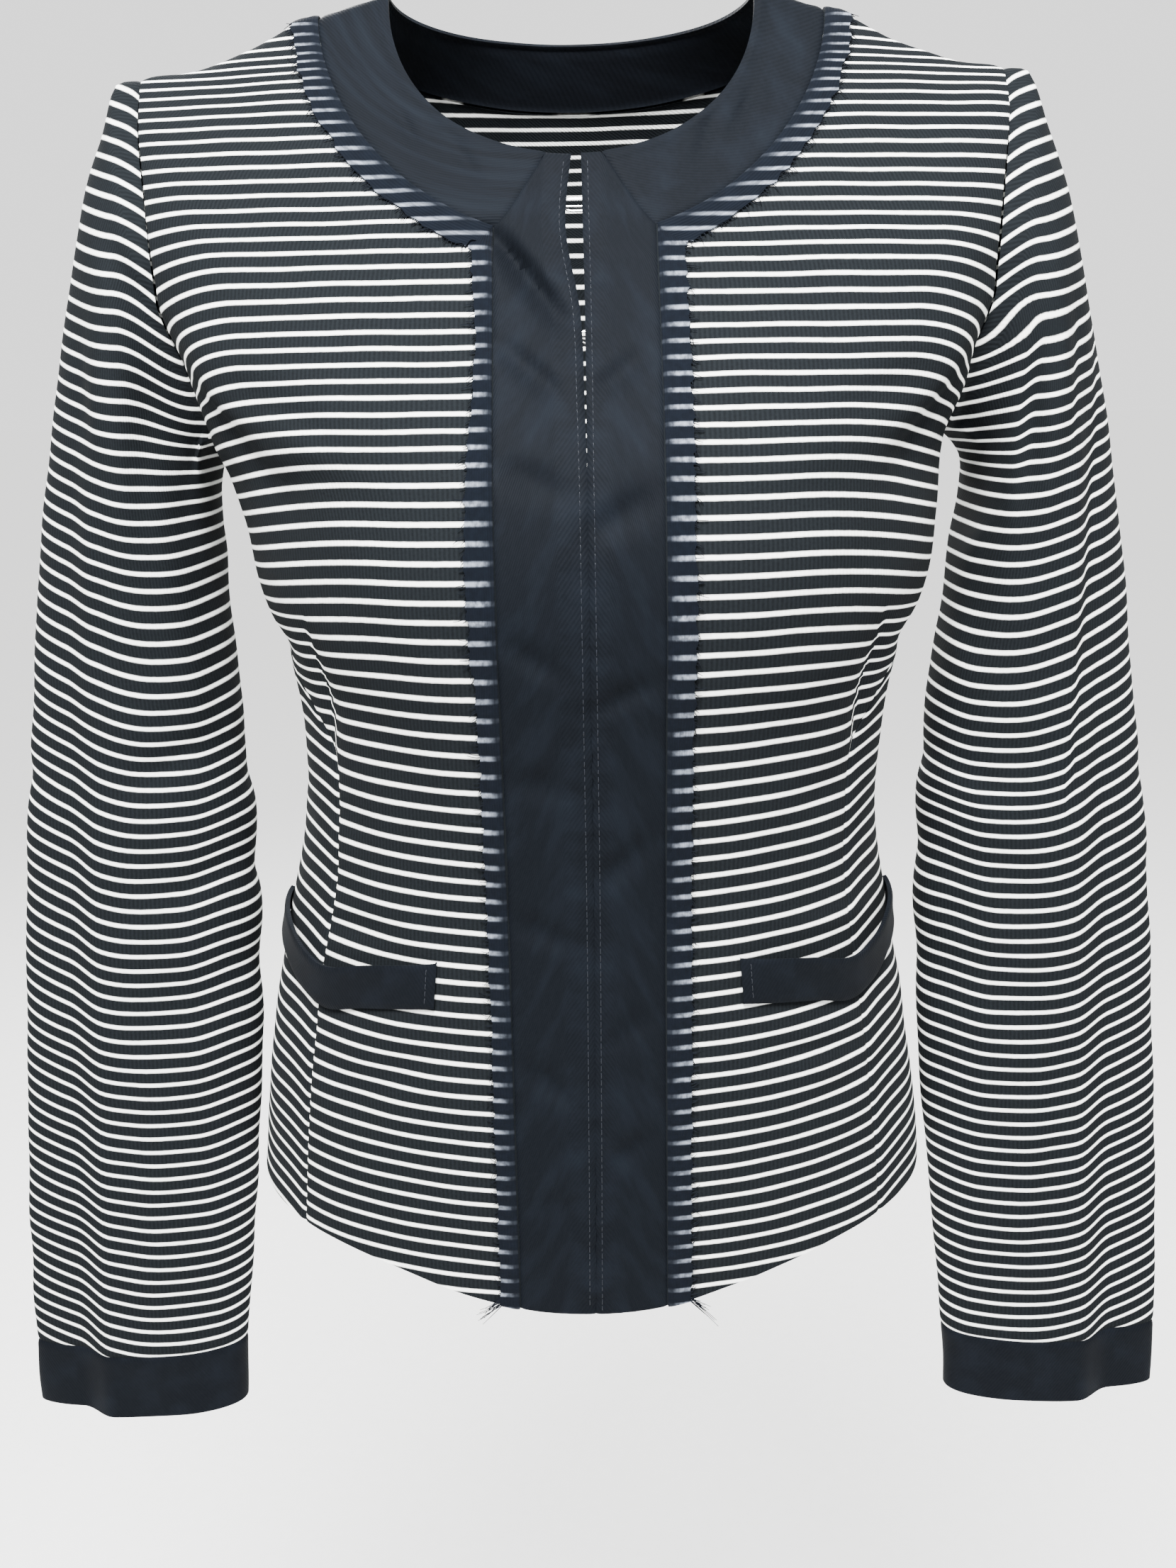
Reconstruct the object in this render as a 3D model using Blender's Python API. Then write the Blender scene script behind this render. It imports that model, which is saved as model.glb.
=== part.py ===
"""A short, fitted, collarless jersey jacket, standing open and hollow as it is worn.

Metres, +Z up. The front faces -Y. The origin lies between the two places where the
shoulders meet the neck. Each piece of cloth is its own closed wall of real thickness,
0.3 mm from its neighbours at the seams.
"""

from collections import namedtuple
from math import acos, asin, atan2, cos, exp, pi, radians, sin

import bpy
from mathutils import Vector

# ---------------------------------------------------------------- driving sizes, metres
JERSEY = 0.0014  # wall of the knitted cloth
TWILL = 0.0018  # wall of the bands and cuffs, which are folded double
RIBBON = 0.0010  # wall of the raw-edge ribbon
SEAM_GAP = 0.0003  # what parts two pieces at a seam
RIBBON_LIFT = 0.0004  # what parts the ribbon from the jersey that it lies on

BAND_WIDTH = 0.0297  # each centre-front band, out to its seam
BAND_TOP_EDGE = 0.0105  # how much of a band's top belongs to the neckline
RIBBON_WIDTH = 0.0105

ARMHOLE_SPREAD = radians(27.5)  # how far the armhole reaches forward of the side line
SHOULDER_TIP_RING = 5.0
UNDERARM_RING = 9.0
HEM_RING = 22.0

WELT_HEIGHT = 0.0190
WELT_GAPE = 0.0030  # how far the middle of a welt's top edge stands off
WELT_LIFT = 0.0006

SLEEVE_STEP = 0.0085  # how far the outer part of a sleeve's front lies back

WIRE_RADIUS = 0.0004
LOOP_FOOT = 0.0055  # how far a hook's or an eye's ends lie behind its band's edge
HOOK_REACH = 0.0016  # how far a hook reaches past the other band's edge
HOOK_HALF_HEIGHT = 0.0014
EYE_REACH = 0.0010
EYE_HALF_HEIGHT = 0.0026

# How many cells each piece has
FRONT_COLUMNS = 10
ARMHOLE_ROWS = 9
SIDE_COLUMNS = 5
BACK_COLUMNS = 7  # from a side panel to the centre back
BACK_ARMHOLE_ROWS = 7
NECKBAND_ROWS = 2
BAND_COLUMNS = 3
WELT_COLUMNS = 12

# ---------------------------------------------------------------- tables
# The body is a stack of rings, from the neckline out over the shoulders and down to
# the hem. half is half the width, front and back are the depths from the side line,
# side_z, front_z and back_z the heights there. square is the ring's power: 2 is an
# ellipse. fall says how late the ring drops from the side to the front.
Ring = namedtuple("Ring", "half front back side_z front_z back_z square fall")
RINGS = (
    Ring(0.0705, 0.0520, 0.0560, 0.0030, -0.0610, -0.0060, 2.00, 0.80),  # neckline
    Ring(0.0975, 0.0690, 0.0720, -0.0045, -0.0915, -0.0300, 2.00, 1.10),  # neckband seam
    Ring(0.1080, 0.0755, 0.0780, -0.0078, -0.1024, -0.0400, 2.02, 1.15),  # ribbon edge
    Ring(0.1260, 0.0830, 0.0850, -0.0165, -0.1128, -0.0550, 2.03, 1.18),
    Ring(0.1480, 0.0890, 0.0900, -0.0235, -0.1217, -0.0700, 2.00, 1.20),
    Ring(0.1680, 0.0945, 0.0940, -0.0265, -0.1300, -0.0850, 1.92, 1.18),  # shoulder tip
    Ring(0.1765, 0.1015, 0.0970, -0.0450, -0.1408, -0.1000, 1.96, 1.22),
    Ring(0.1785, 0.1100, 0.1000, -0.0850, -0.1550, -0.1190, 1.99, 1.42),
    Ring(0.1680, 0.1175, 0.1028, -0.1260, -0.1704, -0.1440, 2.03, 1.72),
    Ring(0.1485, 0.1225, 0.1045, -0.1630, -0.1868, -0.1700, 2.10, 2.00),  # underarm
    Ring(0.1458, 0.1255, 0.1045, -0.1900, -0.2060, -0.1930, 2.20, 2.00),  # bust
    Ring(0.1433, 0.1265, 0.1020, -0.2130, -0.2260, -0.2150, 2.25, 2.00),
    Ring(0.1366, 0.1255, 0.0980, -0.2370, -0.2460, -0.2380, 2.25, 2.00),
    Ring(0.1305, 0.1235, 0.0930, -0.2550, -0.2610, -0.2560, 2.25, 2.00),
    Ring(0.1270, 0.1207, 0.0885, -0.2790, -0.2830, -0.2800, 2.25, 2.00),
    Ring(0.1253, 0.1180, 0.0850, -0.3050, -0.3070, -0.3060, 2.25, 2.00),  # waist
    Ring(0.1262, 0.1162, 0.0850, -0.3280, -0.3290, -0.3280, 2.25, 2.00),
    Ring(0.1300, 0.1152, 0.0890, -0.3540, -0.3540, -0.3540, 2.25, 2.00),
    Ring(0.1352, 0.1155, 0.0950, -0.3800, -0.3800, -0.3800, 2.25, 2.00),
    Ring(0.1405, 0.1163, 0.1000, -0.4080, -0.4080, -0.4080, 2.25, 2.00),
    Ring(0.1446, 0.1170, 0.1040, -0.4330, -0.4400, -0.4340, 2.25, 4.00),
    Ring(0.1479, 0.1175, 0.1060, -0.4580, -0.4720, -0.4620, 2.25, 7.00),
    Ring(0.1504, 0.1178, 0.1078, -0.4830, -0.5030, -0.4900, 2.25, 9.00),  # hem
)

# The left half hangs closer to the body than the right one: by how much the cloth at
# the side lies further in, at a height below the origin. It fades out towards the band.
Slimming = namedtuple("Slimming", "below inward")
LEFT_SLIMMING = (
    Slimming(-0.010, 0.0),
    Slimming(0.163, 0.0),
    Slimming(0.176, 0.0045),
    Slimming(0.192, 0.0085),
    Slimming(0.212, 0.0098),
    Slimming(0.236, 0.0098),
    Slimming(0.262, 0.0088),
    Slimming(0.290, 0.0068),
    Slimming(0.320, 0.0042),
    Slimming(0.350, 0.0018),
    Slimming(0.380, 0.0),
    Slimming(0.510, 0.0),
)
SLIMMING_START = 0.035  # how far from the centre front it begins
SLIMMING_FULL = 0.110  # and from where on the whole of it applies

# Angles round the body from the centre front, in degrees, at a height below the origin:
# where the front meets the side panel, and where the side panel meets the back.
SeamAngle = namedtuple("SeamAngle", "below front_seam back_seam")
SEAM_ANGLES = (
    SeamAngle(0.163, 90.0, 112.0),
    SeamAngle(0.205, 88.0, 108.0),
    SeamAngle(0.235, 82.0, 106.0),
    SeamAngle(0.250, 71.0, 105.0),
    SeamAngle(0.262, 61.0, 104.0),
    SeamAngle(0.278, 54.5, 104.0),
    SeamAngle(0.310, 52.8, 104.0),
    SeamAngle(0.400, 52.5, 104.0),
    SeamAngle(0.505, 52.0, 104.0),
)

# The centre-front edges of the two bands, as x at a height below the origin.
FrontEdge = namedtuple("FrontEdge", "below left right")
FRONT_EDGES = (
    FrontEdge(0.060, -0.0008, 0.0026),
    FrontEdge(0.085, -0.0034, 0.0028),
    FrontEdge(0.118, 0.0012, 0.0032),
    FrontEdge(0.170, 0.0018, 0.0038),
    FrontEdge(0.300, 0.0018, 0.0036),
    FrontEdge(0.420, 0.0010, 0.0027),
    FrontEdge(0.505, 0.0000, 0.0016),
)

# Soft troughs across the body, each along a line from (angle, below) to (angle, below):
# the dart beside the bust and the folds that run from the armhole and the side.
Fold = namedtuple("Fold", "angle_a below_a angle_b below_b width depth")
BODY_FOLDS = (
    Fold(51.0, 0.232, 54.0, 0.285, 0.0060, 0.0022),  # dart
    Fold(62.0, 0.137, 50.0, 0.176, 0.0110, 0.0040),  # from the armhole
    Fold(84.0, 0.243, 62.0, 0.240, 0.0070, 0.0026),  # under the bust at the side
    Fold(125.0, 0.300, 150.0, 0.318, 0.0120, 0.0030),  # small of the back
    Fold(122.0, 0.345, 160.0, 0.337, 0.0120, 0.0030),
)

# The darts make room for a general bust: a soft swell on either side of the front.
Swell = namedtuple("Swell", "x z wide tall rise")
BUST = Swell(0.078, -0.198, 0.050, 0.055, 0.010)

# A sleeve is a tube between its outer and its inner line. front and back are the
# depths from the line's middle, middle_y says where that lies. swing is how much further
# out the right sleeve's inner line lies.
SleeveRing = namedtuple("SleeveRing", "outer_x outer_z inner_x inner_z front back middle_y swing")
SLEEVE_RINGS = (
    SleeveRing(0.1683, -0.0262, 0.1485, -0.1630, 0.0480, 0.0460, 0.0000, 0.0000),  # armhole
    SleeveRing(0.1768, -0.0272, 0.1510, -0.1660, 0.0500, 0.0480, 0.0000, 0.0035),
    SleeveRing(0.1842, -0.0450, 0.1520, -0.1720, 0.0520, 0.0500, 0.0000, 0.0080),
    SleeveRing(0.1915, -0.0660, 0.1522, -0.1800, 0.0530, 0.0510, 0.0000, 0.0105),
    SleeveRing(0.1972, -0.0900, 0.1528, -0.1900, 0.0530, 0.0510, 0.0000, 0.0100),
    SleeveRing(0.2045, -0.1150, 0.1530, -0.2020, 0.0520, 0.0500, 0.0000, 0.0085),
    SleeveRing(0.2117, -0.1420, 0.1520, -0.2170, 0.0500, 0.0490, 0.0000, 0.0064),
    SleeveRing(0.2185, -0.1700, 0.1520, -0.2350, 0.0470, 0.0460, 0.0000, 0.0042),
    SleeveRing(0.2253, -0.2010, 0.1508, -0.2560, 0.0440, 0.0430, 0.0000, 0.0022),
    SleeveRing(0.2312, -0.2320, 0.1492, -0.2770, 0.0405, 0.0400, 0.0000, 0.0008),
    SleeveRing(0.2360, -0.2630, 0.1478, -0.2990, 0.0375, 0.0370, -0.0010, 0.0000),
    SleeveRing(0.2408, -0.2950, 0.1468, -0.3230, 0.0350, 0.0345, -0.0020, 0.0000),
    SleeveRing(0.2460, -0.3280, 0.1462, -0.3480, 0.0330, 0.0320, -0.0035, 0.0000),
    SleeveRing(0.2500, -0.3610, 0.1466, -0.3750, 0.0310, 0.0300, -0.0050, 0.0000),
    SleeveRing(0.2535, -0.3950, 0.1480, -0.4030, 0.0290, 0.0275, -0.0070, 0.0000),
    SleeveRing(0.2565, -0.4290, 0.1500, -0.4330, 0.0270, 0.0250, -0.0090, 0.0000),
    SleeveRing(0.2595, -0.4630, 0.1528, -0.4650, 0.0245, 0.0220, -0.0110, 0.0000),
    SleeveRing(0.2622, -0.4950, 0.1562, -0.4950, 0.0225, 0.0200, -0.0125, 0.0000),
    SleeveRing(0.2645, -0.5260, 0.1598, -0.5260, 0.0205, 0.0180, -0.0140, 0.0000),
    SleeveRing(0.2665, -0.5550, 0.1634, -0.5550, 0.0190, 0.0165, -0.0150, 0.0000),
    SleeveRing(0.2680, -0.5820, 0.1664, -0.5820, 0.0180, 0.0155, -0.0150, 0.0000),  # cuff seam
    SleeveRing(0.2688, -0.5990, 0.1680, -0.5990, 0.0175, 0.0150, -0.0150, 0.0000),
    SleeveRing(0.2692, -0.6150, 0.1692, -0.6150, 0.0172, 0.0150, -0.0150, 0.0000),  # cuff edge
)
CUFF_SEAM_RING = 20
SLEEVE_BLEND_RINGS = 4  # over these the armhole's own shape passes into the tube's

# Soft troughs in a sleeve: along is 1 at the outer line and -1 at the inner one, ring is
# the fold's middle, wide its half width along, long its half length in rings. slant is
# how many rings it climbs from the inner to the middle line.
SleeveFold = namedtuple("SleeveFold", "along ring wide long slant depth")
UNDERARM_PULL = SleeveFold(-0.35, 4.5, 0.22, 2.20, 0.0, 0.0050)
ELBOW_BENDS = (
    SleeveFold(-1.0, 10.6, 0.80, 0.55, 0.8, 0.0018),
    SleeveFold(-1.0, 12.6, 0.80, 0.55, 0.8, 0.0018),
    SleeveFold(-1.0, 14.4, 0.80, 0.55, 0.8, 0.0018),
)

# Each pocket welt runs from the front round to the side. below is its lower edge.
WeltStation = namedtuple("WeltStation", "angle below")
WELT_STATIONS = (
    WeltStation(23.5, 0.3733),
    WeltStation(38.0, 0.3785),
    WeltStation(49.0, 0.3840),
    WeltStation(56.5, 0.3815),
    WeltStation(68.0, 0.3755),
    WeltStation(82.0, 0.3720),
)

HOOK_HEIGHTS = (-0.0777, -0.124, -0.174, -0.228, -0.347, -0.407, -0.470)

COLOURS = {  # sRGB, roughness, metallic
    "jersey": ((0.29, 0.30, 0.33), 0.85, 0.0),
    "twill": ((0.13, 0.16, 0.21), 0.80, 0.0),
    "ribbon": ((0.16, 0.20, 0.32), 0.85, 0.0),
    "steel": ((0.75, 0.75, 0.76), 0.30, 1.0),
}


# ---------------------------------------------------------------- curves through tables
class SmoothCurve:
    """A curve through (key, value) points that never overshoots them."""

    def __init__(self, keys, values):
        self.keys = list(keys)
        self.values = list(values)
        steps = list(zip(self.keys, self.keys[1:], self.values, self.values[1:]))
        rises = [(v1 - v0) / (k1 - k0) for k0, k1, v0, v1 in steps]
        self.slopes = [rises[0]]
        for before, after in zip(rises, rises[1:]):
            gentle = min(abs(before + after) / 2, 3 * abs(before), 3 * abs(after))
            self.slopes.append(gentle * (1 if before > 0 else -1) if before * after > 0 else 0.0)
        self.slopes.append(rises[-1])

    def __call__(self, key):
        last = len(self.keys) - 2
        at = 0
        while at < last and key > self.keys[at + 1]:
            at += 1
        span = self.keys[at + 1] - self.keys[at]
        t = (key - self.keys[at]) / span
        t = min(max(t, -0.5), 1.5)
        keep = (1 + 2 * t) * (1 - t) ** 2
        rise = t * (1 - t) ** 2 * span * self.slopes[at]
        fall = t * t * (t - 1) * span * self.slopes[at + 1]
        return keep * self.values[at] + (1 - keep) * self.values[at + 1] + rise + fall


def columns(rows, keys=None):
    """One curve for each named column of a table, against its first column or the row."""
    names = rows[0]._fields
    if keys is None:
        keys = range(len(rows))
    return {name: SmoothCurve(keys, [getattr(row, name) for row in rows]) for name in names}


def columns_by_first(rows):
    return columns(rows, [row[0] for row in rows])


RING = columns(RINGS)
SEAM = columns_by_first(SEAM_ANGLES)
EDGE = columns_by_first(FRONT_EDGES)
SLEEVE = columns(SLEEVE_RINGS)
WELT = columns_by_first(WELT_STATIONS)
SLIMMING = columns_by_first(LEFT_SLIMMING)["inward"]


def smooth_step(t):
    t = min(max(t, 0.0), 1.0)
    return t * t * (3 - 2 * t)


def signed_power(value, power):
    return abs(value) ** power * (1 if value >= 0 else -1)


# ---------------------------------------------------------------- the body's surface
def fall_share(across, late):
    """How far a ring has dropped from the side, 0, to the front or back, 1."""
    rounding = 0.05  # keeps the ring level where it passes over the shoulder
    low = rounding**late
    high = (1 + rounding**2) ** (late / 2)
    return ((across**2 + rounding**2) ** (late / 2) - low) / (high - low)


def plain_body(angle, ring):
    """The body without folds. angle is 0 at the centre front and pi at the back."""
    half, power = RING["half"](ring), 2 / RING["square"](ring)
    ahead = cos(angle)
    to_front = ahead > 0
    depth = RING["front" if to_front else "back"](ring)
    side_z = RING["side_z"](ring)
    centre_z = RING["front_z" if to_front else "back_z"](ring)
    return Vector((
        half * signed_power(sin(angle), power),
        -depth * signed_power(ahead, power),
        side_z + (centre_z - side_z) * fall_share(abs(ahead), RING["fall"](ring)),
    ))


def bust_fullness(point):
    """How far the bust's swell brings this point forward."""
    if point.y > 0:
        return 0.0
    across = (abs(point.x) - BUST.x) / BUST.wide
    up = (point.z - BUST.z) / BUST.tall
    return BUST.rise * exp(-(across**2) - up**2)


def fold_depth(angle, point, folds):
    """How deep the troughs are at this point of the body."""
    reach = max(abs(point.x), abs(point.y), 0.08)
    turn, total = abs(angle), 0.0
    for fold in folds:
        a = Vector((radians(fold.angle_a) * reach, fold.below_a))
        b = Vector((radians(fold.angle_b) * reach, fold.below_b))
        here = Vector((turn * reach, -point.z))
        along = min(max((here - a).dot(b - a) / (b - a).length_squared, 0.0), 1.0)
        off = (here - a.lerp(b, along)).length / fold.width
        taper = sin(pi * (0.12 + 0.76 * along))
        total += fold.depth * taper * exp(-off * off)
    return total


def body_point(angle, ring):
    point = plain_body(angle, ring)
    outward = Vector((sin(angle), -cos(angle), 0.0))
    point.y -= bust_fullness(point)
    return point - outward * fold_depth(angle, point, BODY_FOLDS)


def body_normal(angle, ring):
    step = 0.01
    round_body = body_point(angle + step, ring) - body_point(angle - step, ring)
    down = body_point(angle, ring + step) - body_point(angle, ring - step)
    return down.cross(round_body).normalized()


def angle_at_x(x, ring):
    """The angle at which a ring's front passes x."""
    share = min(abs(x) / RING["half"](ring), 1.0)
    turn = asin(share ** (RING["square"](ring) / 2))
    return turn if x >= 0 else -turn


def ring_at_height(angle, height):
    """The ring that lies at this height on the body, at this angle."""
    low, high = 0.0, HEM_RING
    while high - low > 1e-5:
        middle = (low + high) / 2
        if plain_body(angle, middle).z > height:
            low = middle
        else:
            high = middle
    return low


# ---------------------------------------------------------------- the armhole
def armhole_place(turn):
    """(angle, ring) of the armhole's edge. turn runs from 0 at the shoulder tip over
    pi at the underarm, by way of the front, to 2 pi."""
    ring = SHOULDER_TIP_RING + (UNDERARM_RING - SHOULDER_TIP_RING) * (1 - cos(turn)) / 2
    power = 2 if cos(turn) > 0 else 2.6
    reach = ARMHOLE_SPREAD * (1 - abs(cos(turn)) ** power) ** (1 / power)
    return pi / 2 - reach * (1 if turn <= pi else -1), ring


SIDE_TOP_TURN = radians(226)  # where the armhole passes from the side panel to the back


def armhole_turns():
    """The armhole's corners, in order: front, side panel, back."""
    front = [pi * k / ARMHOLE_ROWS for k in range(ARMHOLE_ROWS)]
    side = [pi + (SIDE_TOP_TURN - pi) * k / SIDE_COLUMNS for k in range(SIDE_COLUMNS)]
    rest = 2 * pi - SIDE_TOP_TURN
    back = [SIDE_TOP_TURN + rest * k / BACK_ARMHOLE_ROWS for k in range(BACK_ARMHOLE_ROWS)]
    return front + side + back


# ---------------------------------------------------------------- making a piece
def wall_mesh(name, outer, normals, thickness, closed_round=False):
    """A closed wall: the outer points, the inner ones, and the edges between them."""
    rows, wide = len(outer), len(outer[0])
    points = [p for row in outer for p in row]
    inside = [p - n * thickness for row, ns in zip(outer, normals) for p, n in zip(row, ns)]
    shift = rows * wide

    def number(row, column):
        return row * wide + column % wide

    cells = wide if closed_round else wide - 1
    faces = []
    for r in range(rows - 1):
        for c in range(cells):
            cell = (number(r, c), number(r, c + 1), number(r + 1, c + 1), number(r + 1, c))
            faces.append(cell)
            faces.append(tuple(shift + i for i in reversed(cell)))
    edges = [(number(0, c + 1), number(0, c)) for c in range(cells)]
    edges += [(number(rows - 1, c), number(rows - 1, c + 1)) for c in range(cells)]
    if not closed_round:
        edges += [(number(r, 0), number(r + 1, 0)) for r in range(rows - 1)]
        edges += [(number(r + 1, wide - 1), number(r, wide - 1)) for r in range(rows - 1)]
    faces += [(a, b, shift + b, shift + a) for a, b in edges]
    mesh = bpy.data.meshes.new(name)
    mesh.from_pydata([tuple(p) for p in points + inside], [], faces)
    return mesh


def facing_out(mesh):
    """Turns every face round if the wall came out inside out, as a mirrored one does."""
    volume = 0.0
    for face in mesh.polygons:
        corners = [mesh.vertices[i].co for i in face.vertices]
        for b, c in zip(corners[1:], corners[2:]):
            volume += corners[0].dot(b.cross(c))
    if volume < 0:
        mesh.flip_normals()


def make_piece(name, mesh, slot, collection):
    facing_out(mesh)
    mesh.materials.append(cloth_material(slot))
    mesh.shade_smooth()
    mesh.set_sharp_from_angle(angle=radians(40))
    piece = bpy.data.objects.new(name, mesh)
    collection.objects.link(piece)
    return piece


def cloth_material(slot):
    material = bpy.data.materials.get(slot)
    if material is None:
        (red, green, blue), roughness, metallic = COLOURS[slot]
        material = bpy.data.materials.new(slot)
        material.use_nodes = True
        shader = material.node_tree.nodes["Principled BSDF"]
        shader.inputs["Base Color"].default_value = (red, green, blue, 1)
        shader.inputs["Roughness"].default_value = roughness
        shader.inputs["Metallic"].default_value = metallic
    return material


def parted(grid, first_row=True, last_row=True, first_column=True, last_column=True):
    """The grid with its chosen edges drawn in by half a seam gap."""
    grid = [list(row) for row in grid]

    def draw_in(point, towards):
        return point + (towards - point).normalized() * SEAM_GAP / 2

    if first_row:
        grid[0] = [draw_in(a, b) for a, b in zip(grid[0], grid[1])]
    if last_row:
        grid[-1] = [draw_in(a, b) for a, b in zip(grid[-1], grid[-2])]
    for row in grid:
        if first_column:
            row[0] = draw_in(row[0], row[1])
        if last_column:
            row[-1] = draw_in(row[-1], row[-2])
    return grid


def surface_of(places):
    """Points and normals of the body at a grid of (angle, ring) places."""
    points = [[body_point(*place) for place in row] for row in places]
    normals = [[body_normal(*place) for place in row] for row in places]
    return points, normals


def mirrored(grid):
    return [[Vector((-v.x, v.y, v.z)) for v in row] for row in grid]


def slimmed(grid):
    """The grid with what lies left of the centre front drawn in by the left slimming."""
    for row in grid:
        for point in row:
            reach = (-point.x - SLIMMING_START) / (SLIMMING_FULL - SLIMMING_START)
            point.x += SLIMMING(-point.z) * smooth_step(reach)
    return grid


# ---------------------------------------------------------------- the body's pieces
BODY_ROWS = [UNDERARM_RING + k for k in range(1, int(HEM_RING - UNDERARM_RING) + 1)]
YOKE_ROWS = [1.0, 2.0, 3.0, 4.0, SHOULDER_TIP_RING]
ARMHOLE_RINGS = [armhole_place(pi * k / ARMHOLE_ROWS)[1] for k in range(1, ARMHOLE_ROWS + 1)]


def front_seam_place(ring):
    """Where the front meets the side panel at this ring."""
    guess = pi / 2
    for _ in range(4):
        guess = radians(SEAM["front_seam"](-plain_body(guess, ring).z))
    return guess, ring


def back_seam_places():
    """The seam of side panel and back, from its corner in the armhole to the hem."""
    top_ring = armhole_place(SIDE_TOP_TURN)[1]
    top_angle = armhole_place(SIDE_TOP_TURN)[0]
    places = [(top_angle, top_ring)]
    for ring in BODY_ROWS:
        share = smooth_step((ring - top_ring) / 3)
        wanted = radians(SEAM["back_seam"](-plain_body(pi / 2, ring).z))
        places.append((top_angle + (wanted - top_angle) * share, ring))
    return places


def front_row_end(ring):
    """Where a row of the front ends: shoulder seam, armhole or side panel."""
    if ring <= SHOULDER_TIP_RING:
        return pi / 2
    if ring <= UNDERARM_RING:
        share = (ring - SHOULDER_TIP_RING) / (UNDERARM_RING - SHOULDER_TIP_RING)
        turn = acos(max(-1.0, min(1.0, 1 - 2 * share)))
        return armhole_place(turn)[0]
    return front_seam_place(ring)[0]


def front_places():
    """Rows from the neckband seam to the hem, columns from the band to the side.
    The first column is the ribbon's width."""
    places = []
    for ring in YOKE_ROWS + ARMHOLE_RINGS + BODY_ROWS:
        start = angle_at_x(BAND_WIDTH, ring)
        ribbon_edge = angle_at_x(BAND_WIDTH + RIBBON_WIDTH, ring)
        end = front_row_end(ring)
        row = [(start, ring)]
        for c in range(FRONT_COLUMNS):
            row.append((ribbon_edge + (end - ribbon_edge) * c / (FRONT_COLUMNS - 1), ring))
        places.append(row)
    return places


def side_places():
    """Rows from the armhole to the hem, columns from the front seam to the back seam."""
    back_seam = back_seam_places()
    under = [pi + (SIDE_TOP_TURN - pi) * c / SIDE_COLUMNS for c in range(SIDE_COLUMNS + 1)]
    places = [[armhole_place(turn) for turn in under]]
    for (back_angle, _), ring in zip(back_seam[1:], BODY_ROWS):
        front_angle = front_seam_place(ring)[0]
        turn = back_angle - front_angle
        shares = [c / SIDE_COLUMNS for c in range(SIDE_COLUMNS + 1)]
        places.append([(front_angle + turn * share, ring) for share in shares])
    return places


def back_half_places():
    """The right half of the back: rows from the neckband to the hem, columns from the
    shoulder, armhole or side panel to the centre back."""
    rest = 2 * pi - SIDE_TOP_TURN
    turns = [2 * pi - rest * k / BACK_ARMHOLE_ROWS for k in range(1, BACK_ARMHOLE_ROWS)]
    starts = [(pi / 2, ring) for ring in YOKE_ROWS]
    starts += [armhole_place(turn) for turn in turns] + back_seam_places()
    shares = [c / BACK_COLUMNS for c in range(BACK_COLUMNS + 1)]
    return [[(a + (pi - a) * share, ring) for share in shares] for a, ring in starts]


def mitre_x(ring):
    """How far from the centre front the mitre lies, from the neckline to the seam."""
    return BAND_TOP_EDGE + (BAND_WIDTH - BAND_TOP_EDGE) * ring


def band_places(side):
    """Rows from the neckline and the mitre to the hem, columns from the centre front
    to the band's seam. side is -1 or 1."""
    edge = EDGE["left" if side < 0 else "right"]
    mitre_rings = [0.0] + [c / (BAND_COLUMNS - 1) for c in range(BAND_COLUMNS)]
    top = list(mitre_rings)
    under_top = [(ring + YOKE_ROWS[1]) / 2 for ring in top]
    rows = [top, under_top]
    rows += [[r] * len(top) for r in YOKE_ROWS[1:] + ARMHOLE_RINGS + BODY_ROWS]
    places = []
    for rings in rows:
        row = []
        for column, ring in enumerate(rings):
            x = mitre_x(mitre_rings[column])
            if column == 0:
                x = side * edge(-plain_body(0.0, ring).z)
            row.append((side * angle_at_x(x, ring), ring))
        places.append(row)
    return places


def neckband_places():
    """Rows from the neckline to the seam, columns from mitre to mitre round the back.
    At the seam its corners are those of the fronts and the back."""
    seam = [angle for angle, _ in front_places()[0]]
    seam += [angle for angle, _ in back_half_places()[0][1:]]
    places = []
    for r in range(NECKBAND_ROWS + 1):
        ring = r / NECKBAND_ROWS
        start = angle_at_x(mitre_x(ring) + SEAM_GAP, ring)
        shares = [(angle - seam[0]) / (pi - seam[0]) for angle in seam]
        side = [start + (pi - start) * share for share in shares]
        places.append([(a, ring) for a in side] + [(-a, ring) for a in side[-2::-1]])
    return places


def make_panel(name, side, places, slot, thickness, collection, **edges):
    points, normals = surface_of(places)
    points = parted(points, **edges)
    if side < 0:
        points, normals = slimmed(mirrored(points)), mirrored(normals)
    return make_piece(name, wall_mesh(name, points, normals, thickness), slot, collection)


def make_back(collection):
    right = back_half_places()
    places = [row[:-1] + [(-a if a < pi else a, ring) for a, ring in reversed(row)] for row in right]
    points, normals = surface_of(places)
    points = slimmed(parted(points, last_row=False))
    make_piece("back", wall_mesh("back", points, normals, JERSEY), "jersey", collection)


def make_body(collection):
    for side, word in ((-1, "left"), (1, "right")):
        make_panel(f"front_{word}", side, front_places(), "jersey", JERSEY, collection,
                   last_row=False)
        make_panel(f"side_{word}", side, side_places(), "jersey", JERSEY, collection,
                   last_row=False)
        places = band_places(side)
        points, normals = surface_of(places)
        points = parted(points, last_row=False, first_column=False)
        mesh = wall_mesh(f"band_{word}", points, normals, TWILL)
        make_piece(f"band_{word}", mesh, "twill", collection)
    make_back(collection)
    points, normals = surface_of(neckband_places())
    points = parted(points, first_row=False)
    make_piece("neckband", wall_mesh("neckband", points, normals, TWILL), "twill", collection)


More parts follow.
